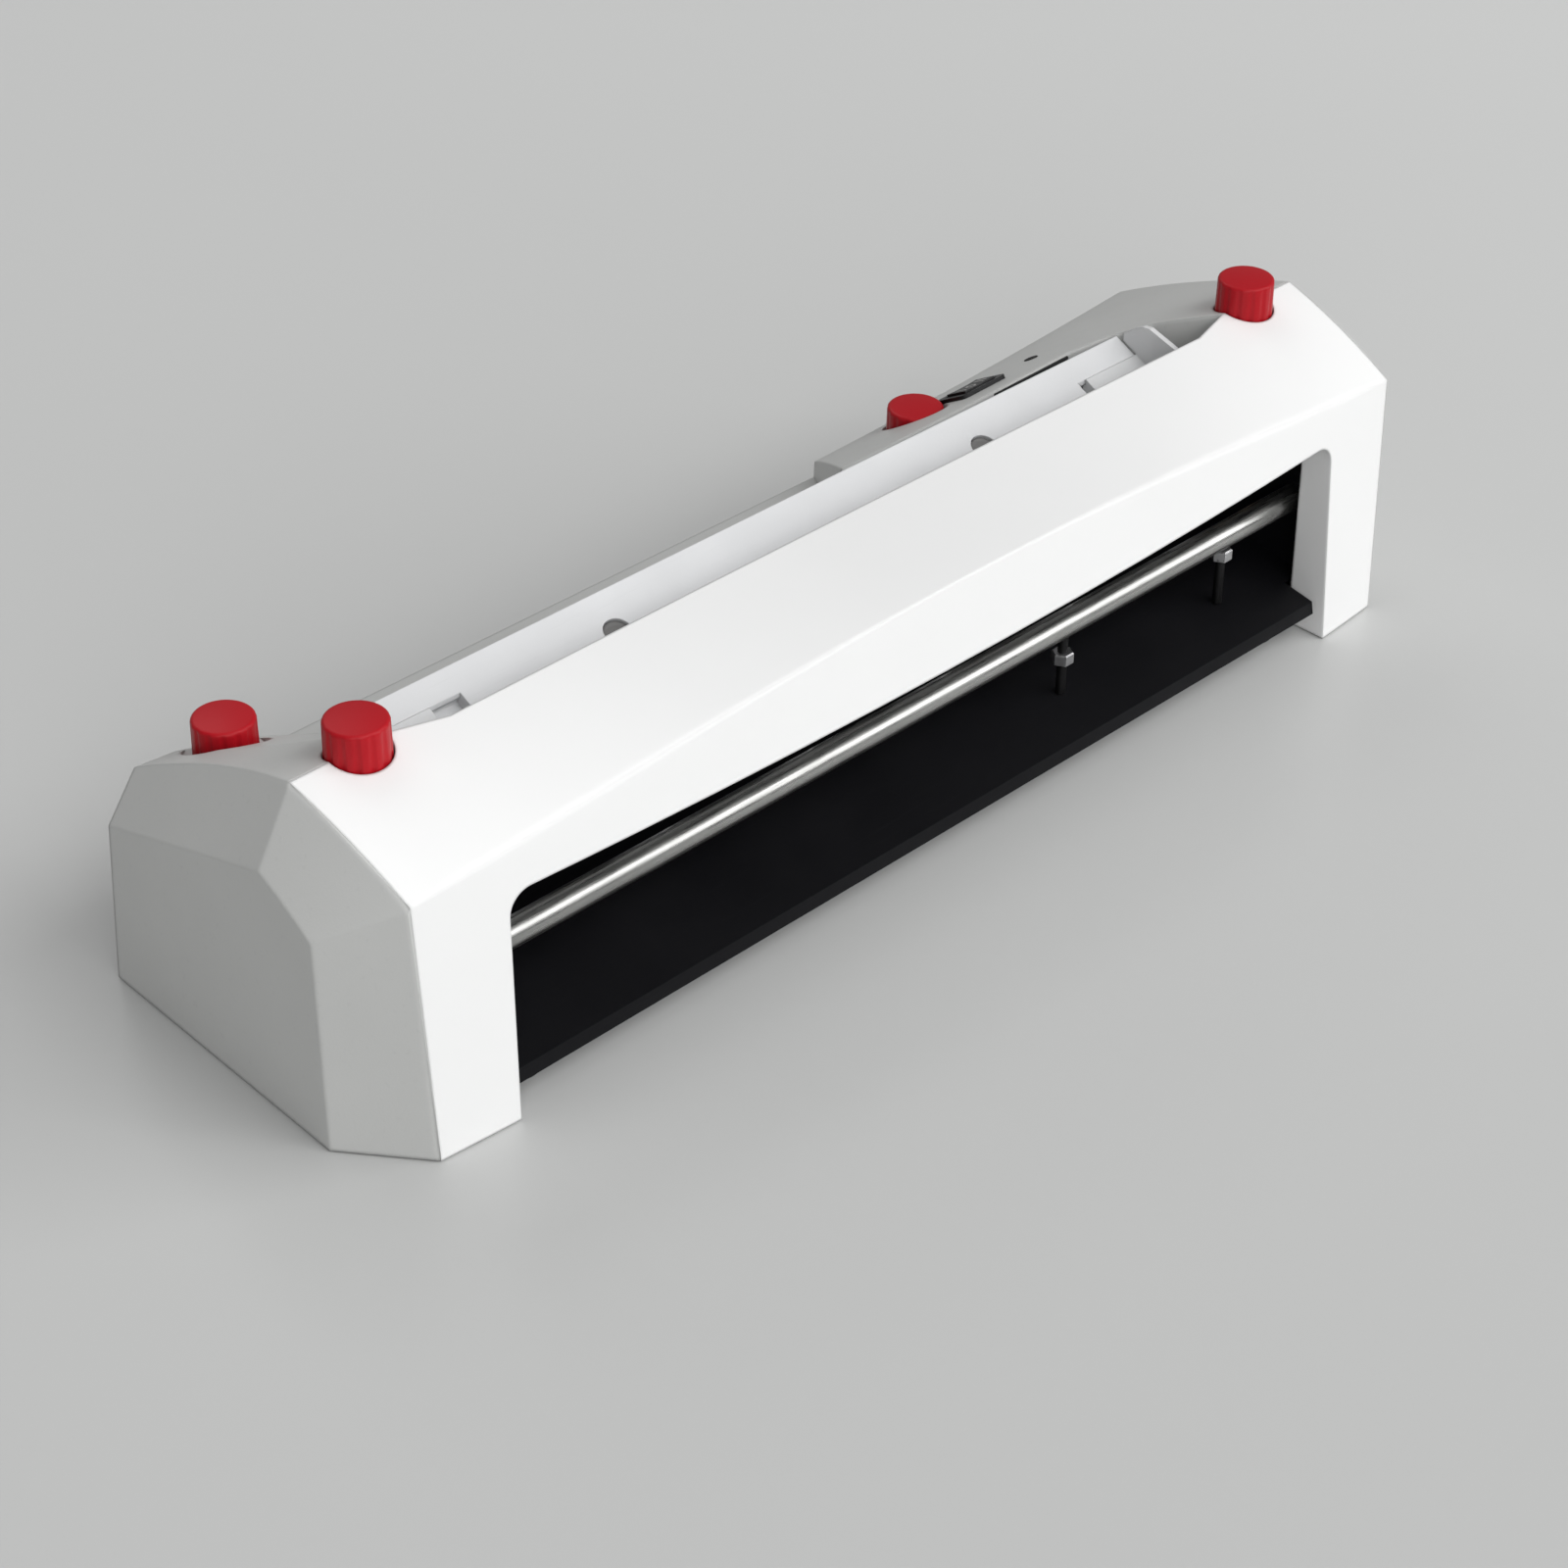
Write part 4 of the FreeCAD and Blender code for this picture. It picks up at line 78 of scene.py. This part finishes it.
# ---- materials -----------------------------------------------------------------------------
PLASTIC_CLOUD = 14.0         # noise scales: mottling, uneven gloss, dust and scuffs
PLASTIC_SMUDGE = 38.0
PLASTIC_DUST = 420.0
PAINT_CLOUD = 22.0
PAINT_SMUDGE = 45.0
PAINT_SCUFF = 60.0
METAL_CLOUD = 30.0
PLASTIC_UNEVEN = (0.88, 1.15)  # the least and the most of the roughness that is written
PAINT_UNEVEN = (0.85, 1.2)
METAL_UNEVEN = (0.7, 1.4)
PAINT_MOTTLE = 0.05
DUST_SPAN = (0.62, 0.78)     # noise values between which dust and scuffs come in
SCUFF_SPAN = (0.60, 0.74)
SCUFF_STRETCH = (0.35, 14.0, 14.0)  # scuffs run along X
DUST_TINT = 0.72
PALE_SCUFF_TINT = 0.85       # scuffs darken a pale sheet and lighten a dark one
DARK_SCUFF_TINT = 3.0
PALE_FROM = 0.2
PLAIN_GLOSS = 0.5
BEVEL_SAMPLES = 8
BROW_START = 0.128           # height less the Y place, on the front cover above its opening
BROW_FULL = 0.134
BROW_MIDDLE = 0.02           # distance from the middle where the crease starts to widen
BROW_END = 0.13


class Nodes:
    """Short calls for building one material's node tree."""

    def __init__(self, name):
        self.material = bpy.data.materials.new(name)
        self.material.use_nodes = True
        self.tree = self.material.node_tree
        self.shader = self.tree.nodes["Principled BSDF"]
        self.place = self.add("ShaderNodeTexCoord").outputs["Object"]

    def add(self, kind, **settings):
        node = self.tree.nodes.new(kind)
        for key, value in settings.items():
            setattr(node, key, value)
        return node

    def link(self, source, target):
        self.tree.links.new(source, target)

    def separate(self):
        """The X, Y and Z of the place."""
        node = self.add("ShaderNodeSeparateXYZ")
        self.link(self.place, node.inputs["Vector"])
        return node.outputs

    def calculate(self, operation, first, second=None):
        """One math node; second is a socket, a number or nothing."""
        node = self.add("ShaderNodeMath", operation=operation)
        self.link(first, node.inputs[0])
        if isinstance(second, float):
            node.inputs[1].default_value = second
        elif second is not None:
            self.link(second, node.inputs[1])
        return node.outputs["Value"]

    def stretched(self, scale):
        mapping = self.add("ShaderNodeMapping")
        self.link(self.place, mapping.inputs["Vector"])
        mapping.inputs["Scale"].default_value = scale
        return mapping.outputs["Vector"]

    def noise(self, scale, detail, rough=0.5, vector=None):
        node = self.add("ShaderNodeTexNoise")
        self.link(vector or self.place, node.inputs["Vector"])
        node.inputs["Scale"].default_value = scale
        node.inputs["Detail"].default_value = detail
        node.inputs["Roughness"].default_value = rough
        return node.outputs["Fac"]

    def ramp(self, source, stops):
        """stops: (position, colour) pairs."""
        node = self.add("ShaderNodeValToRGB")
        self.link(source, node.inputs["Fac"])
        elements = node.color_ramp.elements
        while len(elements) < len(stops):
            elements.new(0.5)
        for element, (position, colour) in zip(elements, stops):
            element.position = position
            element.color = (*colour, 1.0)
        return node.outputs["Color"]

    def mottled(self, colour, cloud, darkest, lightest, start=0.3, end=0.7):
        """The colour, a little darker or lighter from place to place."""
        return self.ramp(cloud, [(start, tint(colour, darkest)), (end, tint(colour, lightest))])

    def spread(self, source, low, high, start=0.3, end=0.7):
        """Maps a grey value onto a range of numbers."""
        node = self.add("ShaderNodeMapRange")
        self.link(source, node.inputs["Value"])
        node.inputs["From Min"].default_value = start
        node.inputs["From Max"].default_value = end
        node.inputs["To Min"].default_value = low
        node.inputs["To Max"].default_value = high
        return node.outputs["Result"]

    def mix(self, share, first, second, blend="MIX"):
        """Blends two colours; each value is a socket or a constant."""
        node = self.add("ShaderNodeMix", data_type="RGBA", blend_type=blend)
        for key, value in (("Factor", share), ("A", first), ("B", second)):
            socket = [i for i in node.inputs if i.name == key and i.enabled][0]
            if isinstance(value, tuple):
                socket.default_value = (*value, 1.0)
            elif isinstance(value, float):
                socket.default_value = value
            else:
                self.link(value, socket)
        return [o for o in node.outputs if o.enabled][0]

    def soft_edge(self, radius, brow=None):
        """Normals that turn round an edge, as on a moulded or folded corner.

        brow is a wider radius, for the ends of the crease above the front opening.
        """
        node = self.add("ShaderNodeBevel", samples=BEVEL_SAMPLES)
        node.inputs["Radius"].default_value = radius
        if brow is not None:
            place = self.separate()
            outward = self.calculate("SUBTRACT", place["Z"], place["Y"])
            side = self.calculate("ABSOLUTE", place["X"])
            wide = self.spread(side, radius, brow, BROW_MIDDLE, BROW_END)
            above = self.spread(outward, 0.0, 1.0, BROW_START, BROW_FULL)
            share = self.calculate("MULTIPLY", wide, above)
            self.link(self.calculate("MAXIMUM", share, radius), node.inputs["Radius"])
        return node.outputs["Normal"]

    def bump(self, height, distance, below=None):
        node = self.add("ShaderNodeBump")
        self.link(height, node.inputs["Height"])
        node.inputs["Distance"].default_value = distance
        node.inputs["Strength"].default_value = 1.0
        if below is not None:
            self.link(below, node.inputs["Normal"])
        return node.outputs["Normal"]

    def set_surface(self, base, roughness, relief, gloss):
        self.link(base, self.shader.inputs["Base Color"])
        self.link(roughness, self.shader.inputs["Roughness"])
        self.link(relief, self.shader.inputs["Normal"])
        self.shader.inputs["Specular IOR Level"].default_value = gloss


def tint(colour, factor):
    return tuple(min(1.0, c * factor) for c in colour)


def plastic(
    name,
    colour,
    rough,
    grain,
    depth,
    mottle,
    dust=0.0,
    edge=0.0,
    gloss=PLAIN_GLOSS,
    brow=None,
):
    """Moulded plastic: fine grain, faint large mottling, dust, uneven gloss and rounded edges."""
    n = Nodes(name)
    base = n.mottled(colour, n.noise(PLASTIC_CLOUD, detail=4.0), 1 - mottle, 1 + mottle)
    if dust > 0:
        speck = n.noise(PLASTIC_DUST, detail=2.0, rough=0.7)
        base = n.mix(n.spread(speck, 0.0, dust, *DUST_SPAN), base, tint(colour, DUST_TINT))
    smudge = n.noise(PLASTIC_SMUDGE, detail=5.0, rough=0.6)
    least, most = (rough * share for share in PLASTIC_UNEVEN)
    round_edge = n.soft_edge(edge, brow) if edge > 0 else None
    relief = n.bump(n.noise(grain, detail=2.0, rough=0.6), depth, below=round_edge)
    n.set_surface(base, n.spread(smudge, least, min(1.0, most)), relief, gloss)
    return n.material


def painted_sheet(name, colour, rough, peel, depth, scuff, edge=0.0, gloss=PLAIN_GLOSS):
    """Powder coat or paint on sheet steel: orange peel and thin scuffs along X."""
    n = Nodes(name)
    cloud = n.noise(PAINT_CLOUD, detail=4.0)
    base = n.mottled(colour, cloud, 1 - PAINT_MOTTLE, 1 + PAINT_MOTTLE)
    lines = n.noise(PAINT_SCUFF, detail=6.0, rough=0.7, vector=n.stretched(SCUFF_STRETCH))
    worn = tint(colour, PALE_SCUFF_TINT if colour[0] > PALE_FROM else DARK_SCUFF_TINT)
    base = n.mix(n.spread(lines, 0.0, scuff, *SCUFF_SPAN), base, worn)
    smudge = n.noise(PAINT_SMUDGE, detail=4.0)
    least, most = (rough * share for share in PAINT_UNEVEN)
    round_edge = n.soft_edge(edge) if edge > 0 else None
    relief = n.bump(n.noise(peel, detail=2.0), depth, below=round_edge)
    n.set_surface(base, n.spread(smudge, least, most), relief, gloss)
    return n.material


def metal(name, colour, rough, lines, scale, depth, stain):
    """Bare metal with machining lines; lines stretches them."""
    n = Nodes(name)
    n.shader.inputs["Metallic"].default_value = 1.0
    cloud = n.noise(METAL_CLOUD, detail=5.0, rough=0.6)
    base = n.mottled(colour, cloud, 1 - stain, 1 + stain / 2, end=0.72)
    marks = n.noise(scale, detail=3.0, rough=0.6, vector=n.stretched(lines))
    least, most = (rough * share for share in METAL_UNEVEN)
    n.set_surface(base, n.spread(marks, least, most), n.bump(marks, depth), PLAIN_GLOSS)
    return n.material


# The numbers after a colour are, for a plastic, rough, grain, depth, mottle and dust; for a paint,
# rough, peel, depth and scuff; for a metal, rough, lines, scale, depth and stain.
MATERIALS = {
    "cover_white": plastic(
        "white_plastic",
        (0.785, 0.787, 0.785),
        rough=0.38,
        grain=1300.0,
        depth=0.000012,
        mottle=0.01,
        edge=0.0012,
        brow=0.004,
    ),
    "cover_grey": plastic(
        "grey_plastic", (0.52, 0.525, 0.515), 0.46, 1500.0, 0.00003, 0.03, 0.2, edge=0.0018
    ),
    "plate_grey": painted_sheet(
        "grey_powder_coat", (0.65, 0.656, 0.665), 0.42, 1000.0, 0.00003, 0.4, edge=0.0006
    ),
    "guide_grey": plastic(
        "guide_plastic", (0.62, 0.625, 0.63), 0.4, 1400.0, 0.00002, 0.03, edge=0.0006
    ),
    "knob_red": plastic(
        "red_plastic",
        (0.38, 0.006, 0.012),
        rough=0.38,
        grain=1600.0,
        depth=0.00002,
        mottle=0.06,
        edge=0.0012,
        gloss=0.18,
    ),
    "switch_black": plastic(
        "black_plastic", (0.007, 0.007, 0.008), 0.4, 1800.0, 0.00002, 0.2, gloss=0.25
    ),
    "sheet_black": painted_sheet(
        "black_paint", (0.004, 0.004, 0.005), 0.5, 800.0, 0.00003, 0.3, gloss=0.12
    ),
    "post_black": metal(
        "near_black_steel", (0.03, 0.03, 0.031), 0.5, (1.0, 1.0, 0.3), 700.0, 0.00001, 0.3
    ),
    "plug_grey": plastic("plug_plastic", (0.15, 0.148, 0.145), 0.55, 1500.0, 0.00002, 0.08),
    # painted shade: the black of the housing's small hole and of its shadowed front wall
    "shade_black": plastic(
        "painted_shade_black", (0.012, 0.012, 0.012), 0.6, 1300.0, 0.00003, 0.2, gloss=0.3
    ),
    "frame_steel": metal(
        "zinc_plate", (0.50, 0.50, 0.51), 0.34, (1.0, 1.0, 1.0), 500.0, 0.00001, 0.3
    ),
    "rod_chrome": metal(
        "polished_rod", (0.36, 0.36, 0.35), 0.3, (0.2, 6.0, 6.0), 300.0, 0.000004, 0.12
    ),
    "blade_steel": metal(
        "ground_steel", (0.60, 0.60, 0.61), 0.22, (6.0, 1.0, 1.0), 400.0, 0.000006, 0.1
    ),
    "bearing_brass": metal(
        "sintered_bronze", (0.45, 0.30, 0.13), 0.4, (1.0, 1.0, 1.0), 1500.0, 0.00002, 0.2
    ),
    "gear_nylon": plastic("nylon", (0.70, 0.67, 0.58), 0.5, 1200.0, 0.00002, 0.05),
    "roller_rubber": plastic(
        "ground_rubber", (0.03, 0.03, 0.031), 0.75, 1500.0, 0.00005, 0.2
    ),
    "foot_rubber": plastic("black_rubber", (0.02, 0.02, 0.02), 0.8, 1200.0, 0.00004, 0.2),
    "mark_grey": plastic("mark_paint", (0.40, 0.40, 0.39), 0.5, 1500.0, 0.00001, 0.1),
    "board_green": plastic("circuit_board", (0.02, 0.13, 0.05), 0.35, 700.0, 0.00002, 0.25),
}


def dress_nodes():
    """Every CAD node gets its slot's material; the posts are near-black steel and their nuts
    bright.
    """
    slots = {row["node"]: row["material_slot"] for row in frame["record"]["subparts"]}
    slots["rod_posts"] = "post_black"
    for name, node in frame["nodes"].items():
        material = MATERIALS[slots[name]]
        if not node.material_slots:
            node.data.materials.append(material)
        for slot in node.material_slots:
            slot.material = material


dress_nodes()


# ---- meshes --------------------------------------------------------------------------------
def add_band(mesh, near, far, smooth=False):
    """A closed band of faces between two loops with the same number of corners."""
    for i in range(len(near)):
        j = (i + 1) % len(near)
        mesh.faces.new((near[i], near[j], far[j], far[i])).smooth = smooth


def new_piece(mesh, name, finish, body):
    """Makes an object of the mesh, gives it a finish and lets it ride on a body."""
    bmesh.ops.recalc_face_normals(mesh, faces=mesh.faces)
    data = bpy.data.meshes.new(name)
    mesh.to_mesh(data)
    mesh.free()
    data.materials.append(MATERIALS[finish])
    piece = bpy.data.objects.new(name, data)
    bpy.context.scene.collection.objects.link(piece)
    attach(piece, body)


# ---- marks on the rocker -------------------------------------------------------------------
SWITCH_PLACE = (0.102, 0.03531, 0.0729068)
HOUSING_FALL = math.radians(-30.024)  # slopes of the housing under the switch
HOUSING_RISE = math.radians(1.873)
ROCKER_MIDDLE = 0.0015       # height of the rocker above the housing, in its middle and at its ends
ROCKER_END = 0.0018
ROCKER_HALF = 0.0064
MARK_HIGH = 0.0042
MARK_LINE = 0.00055
MARK_RAISED = 0.00008        # out of the rocker's surface, and as far into it
MARK_ONE = -0.0042           # where the strokes of I and II lie
MARK_TWO = (0.0036, 0.0050)
RING_HALF = 0.0014           # half the width of the O
RING_STEPS = 28


def on_housing(place):
    """Puts a piece down on the housing's sloping top."""
    tilt = Matrix.Rotation(-HOUSING_RISE, 4, "Y") @ Matrix.Rotation(HOUSING_FALL, 4, "X")
    return Matrix.Translation(place) @ tilt


def mark_corner(mesh, x, y, raised):
    height = ROCKER_MIDDLE + (ROCKER_END - ROCKER_MIDDLE) * abs(x) / ROCKER_HALF
    return mesh.verts.new((x, y, height + raised))


def mark_bar(mesh, x):
    """A thin raised bar across the rocker at x."""
    x0, x1 = x - MARK_LINE / 2, x + MARK_LINE / 2
    y0, y1 = -MARK_HIGH / 2, MARK_HIGH / 2
    outline = ((x0, y0), (x1, y0), (x1, y1), (x0, y1))
    low = [mark_corner(mesh, *spot, -MARK_RAISED) for spot in outline]
    top = [mark_corner(mesh, *spot, MARK_RAISED) for spot in outline]
    mesh.faces.new(top)
    mesh.faces.new(low[::-1])
    add_band(mesh, low, top)


def mark_ring(mesh):
    """A thin raised oval ring in the middle, closed on all four of its sides."""
    loops = []
    for inset, raised in ((0, 1), (MARK_LINE, 1), (MARK_LINE, -1), (0, -1)):
        loop = []
        for i in range(RING_STEPS):
            angle = 2 * math.pi * i / RING_STEPS
            x = (RING_HALF - inset) * math.cos(angle)
            y = (MARK_HIGH / 2 - inset) * math.sin(angle)
            loop.append(mark_corner(mesh, x, y, raised * MARK_RAISED))
        loops.append(loop)
    for near, far in zip(loops, loops[1:] + loops[:1]):
        add_band(mesh, near, far)


def add_rocker_marks():
    mesh = bmesh.new()
    mark_bar(mesh, MARK_ONE)
    mark_ring(mesh)
    for x in MARK_TWO:
        mark_bar(mesh, x)
    bmesh.ops.transform(mesh, matrix=on_housing(SWITCH_PLACE), verts=mesh.verts)
    new_piece(mesh, "rocker_marks", "mark_grey", "rocker")


add_rocker_marks()


# ---- small fittings ------------------------------------------------------------------------
TURN_STEPS = 40
PLATE_FALL = math.atan(0.5)  # slope of the feed plate towards the front
PLATE_PLUGS = ((-0.072, 0.00291, 0.0785), (0.072, 0.00291, 0.0785))
PLUG_PROFILE = (             # radius and height of a plug in a plate hole, from its lower end
    (0.0036, -0.0024),
    (0.00425, -0.0019),
    (0.00425, -0.0011),
    (0.0040, -0.0008),
    (0.0032, -0.0008),
    (0.0029, -0.0011),
)
HOUSING_HOLE_SHADE = (0.12940, 0.03621, 0.07327)
HOUSING_HOLE_SHADE_PROFILE = (     # a flanged black plug that lies on the housing; its black is painted shade for a small hole there
    (0.0010, -0.0008),
    (0.0012, 0.0),
    (0.0021, 0.0),
    (0.00225, 0.00015),
    (0.0021, 0.0004),
    (0.0014, 0.0005),
    (0.0011, 0.00035),
)
SHADE_STRIP_X = (0.0965, 0.1290)    # a black strip on the housing's front wall, behind the feed plate: painted shade over that shadowed wall
SHADE_STRIP_Y = 0.02181
SHADE_STRIP_THICK = 0.0006
SHADE_STRIP_LOW = 0.0762
SHADE_STRIP_TOPS = (0.0793, 0.0801)
SHADE_STRIP_LOW_CUT = 0.0002        # how its two front edges are rounded
SHADE_STRIP_TOP_CUT = 0.0003
SHADE_STRIP_TOP_ROUND = 0.0001
ROD_LINE_Y = -0.03769        # the cross rod's axis, over its posts
POST_NUTS = ((0.064, 0.0270), (0.1355, 0.0320))  # X and lower height
NUT_SIDES = 6
NUT_PROFILE = (
    (0.00295, -0.0001),
    (0.00335, 0.0002),
    (0.00335, 0.0033),
    (0.00295, 0.0036),
)


def add_turned(mesh, profile, place, sides=TURN_STEPS):
    """A solid of revolution about its own Z, or a prism of few sides, set down by place."""
    rings = []
    for radius, height in profile:
        ring = []
        for i in range(sides):
            angle = 2 * math.pi * i / sides
            point = Vector((radius * math.cos(angle), radius * math.sin(angle), height))
            ring.append(mesh.verts.new(place @ point))
        rings.append(ring)
    for low, high in zip(rings, rings[1:]):
        add_band(mesh, low, high, smooth=sides > NUT_SIDES)
    mesh.faces.new(rings[0][::-1])
    mesh.faces.new(rings[-1])


def add_plate_plugs():
    mesh = bmesh.new()
    for spot in PLATE_PLUGS:
        place = Matrix.Translation(spot) @ Matrix.Rotation(PLATE_FALL, 4, "X")
        add_turned(mesh, PLUG_PROFILE, place)
    new_piece(mesh, "plate_plugs", "plug_grey", "root")


def add_housing_hole_shade():
    # painted shade: a black plug in place of the dark inside of a small hole in the housing
    mesh = bmesh.new()
    add_turned(mesh, HOUSING_HOLE_SHADE_PROFILE, on_housing(HOUSING_HOLE_SHADE))
    new_piece(mesh, "housing_hole_shade", "shade_black", "root")


def add_housing_shade_strip():
    """A flat black strip with rounded front edges along the foot of the housing's wall; its black
    is painted shade on that wall.
    """
    mesh = bmesh.new()
    front = SHADE_STRIP_Y - SHADE_STRIP_THICK
    ends = []
    for x, top in zip(SHADE_STRIP_X, SHADE_STRIP_TOPS):
        outline = (
            (SHADE_STRIP_Y, SHADE_STRIP_LOW),
            (front + SHADE_STRIP_LOW_CUT, SHADE_STRIP_LOW),
            (front, SHADE_STRIP_LOW + SHADE_STRIP_LOW_CUT),
            (front, top - SHADE_STRIP_TOP_CUT),
            (front + SHADE_STRIP_TOP_ROUND, top - SHADE_STRIP_TOP_ROUND),
            (front + SHADE_STRIP_TOP_CUT, top),
            (SHADE_STRIP_Y, top),
        )
        ends.append([mesh.verts.new((x, y, z)) for y, z in outline])
    left, right = ends
    add_band(mesh, left, right)
    mesh.faces.new(left)
    mesh.faces.new(right[::-1])
    new_piece(mesh, "housing_shade_strip", "shade_black", "root")


def add_post_nuts():
    """Chamfered hexagon nuts round the posts under the cross rod."""
    mesh = bmesh.new()
    for x, z in POST_NUTS:
        place = Matrix.Translation((x, ROD_LINE_Y, z))
        add_turned(mesh, NUT_PROFILE, place, sides=NUT_SIDES)
    new_piece(mesh, "post_nuts", "frame_steel", "root")


add_plate_plugs()
add_housing_hole_shade()
add_housing_shade_strip()
add_post_nuts()


# ---- stage and light -----------------------------------------------------------------------
FLOOR_HALF = 6.0
FLOOR_COLOUR = (0.545, 0.55, 0.545)
FLOOR_CLOUD = 2.0            # scales of the floor's mottling and of its uneven gloss
FLOOR_SMUDGE = 3.0
FLOOR_MOTTLE = 0.015
FLOOR_ROUGH = (0.33, 0.36)
FLOOR_GLOSS = 0.35
FLOOR_PAINTED_LIGHT_SPAN = (-0.9, 1.5)  # X plus Y where the painted light and shade starts and ends
FLOOR_PAINTED_LIGHT = (               # painted shade and light: a little darker towards the front left, lighter towards the back right
    (0.0, (0.84, 0.84, 0.84)),
    (0.3, (0.89, 0.89, 0.89)),
    (0.7, (1.13, 1.13, 1.13)),
    (1.0, (1.2, 1.2, 1.2)),
)
WORLD_STRENGTH = 0.24
LAMPS = (                    # name, place, width and height, watts
    ("front_left", (-1.95, -2.7, 1.5), 2.1, 51.0),
    ("front_right", (2.4, -2.25, 1.8), 2.1, 54.0),
    ("front_high", (0.45, -2.4, 2.7), 2.1, 58.0),
    ("top", (0.3, -0.45, 3.6), 3.0, 17.0),
    ("rear", (0.45, 2.4, 2.7), 2.1, 19.0),
)


def floor_material():
    n = Nodes("floor_grey")
    cloud = n.noise(FLOOR_CLOUD, detail=1.0)
    base = n.mottled(FLOOR_COLOUR, cloud, 1 - FLOOR_MOTTLE, 1 + FLOOR_MOTTLE, 0.2, 0.8)
    place = n.separate()
    across = n.calculate("ADD", place["X"], place["Y"])
    # painted shade and light: the floor's colour is multiplied by a ramp along X plus Y
    painted_light = n.ramp(n.spread(across, 0.0, 1.0, *FLOOR_PAINTED_LIGHT_SPAN), FLOOR_PAINTED_LIGHT)
    n.link(n.mix(1.0, base, painted_light, "MULTIPLY"), n.shader.inputs["Base Color"])
    roughness = n.spread(n.noise(FLOOR_SMUDGE, detail=1.0), *FLOOR_ROUGH, start=0.1, end=0.9)
    n.link(roughness, n.shader.inputs["Roughness"])
    n.shader.inputs["Specular IOR Level"].default_value = FLOOR_GLOSS
    return n.material


def add_floor():
    mesh = bpy.data.meshes.new("floor")
    half = FLOOR_HALF
    corners = [(-half, -half, 0), (half, -half, 0), (half, half, 0), (-half, half, 0)]
    mesh.from_pydata(corners, [], [(0, 1, 2, 3)])
    floor = bpy.data.objects.new("floor", mesh)
    bpy.context.scene.collection.objects.link(floor)
    mesh.materials.append(floor_material())


def add_lamp(name, place, size, watts):
    """A square area lamp that looks at the middle of the floor."""
    data = bpy.data.lights.new(name, "AREA")
    data.shape = "RECTANGLE"
    data.size = data.size_y = size
    data.energy = watts
    lamp = bpy.data.objects.new(name, data)
    lamp.location = place
    lamp.rotation_euler = (-Vector(place)).to_track_quat("-Z", "Y").to_euler()
    bpy.context.scene.collection.objects.link(lamp)


def add_light():
    world = bpy.data.worlds.new("world")
    bpy.context.scene.world = world
    world.use_nodes = True
    background = world.node_tree.nodes["Background"]
    background.inputs["Color"].default_value = (1.0, 1.0, 1.0, 1.0)
    background.inputs["Strength"].default_value = WORLD_STRENGTH
    for lamp in LAMPS:
        add_lamp(*lamp)


add_floor()
add_light()

view = bpy.context.scene.view_settings
view.view_transform = "Standard"
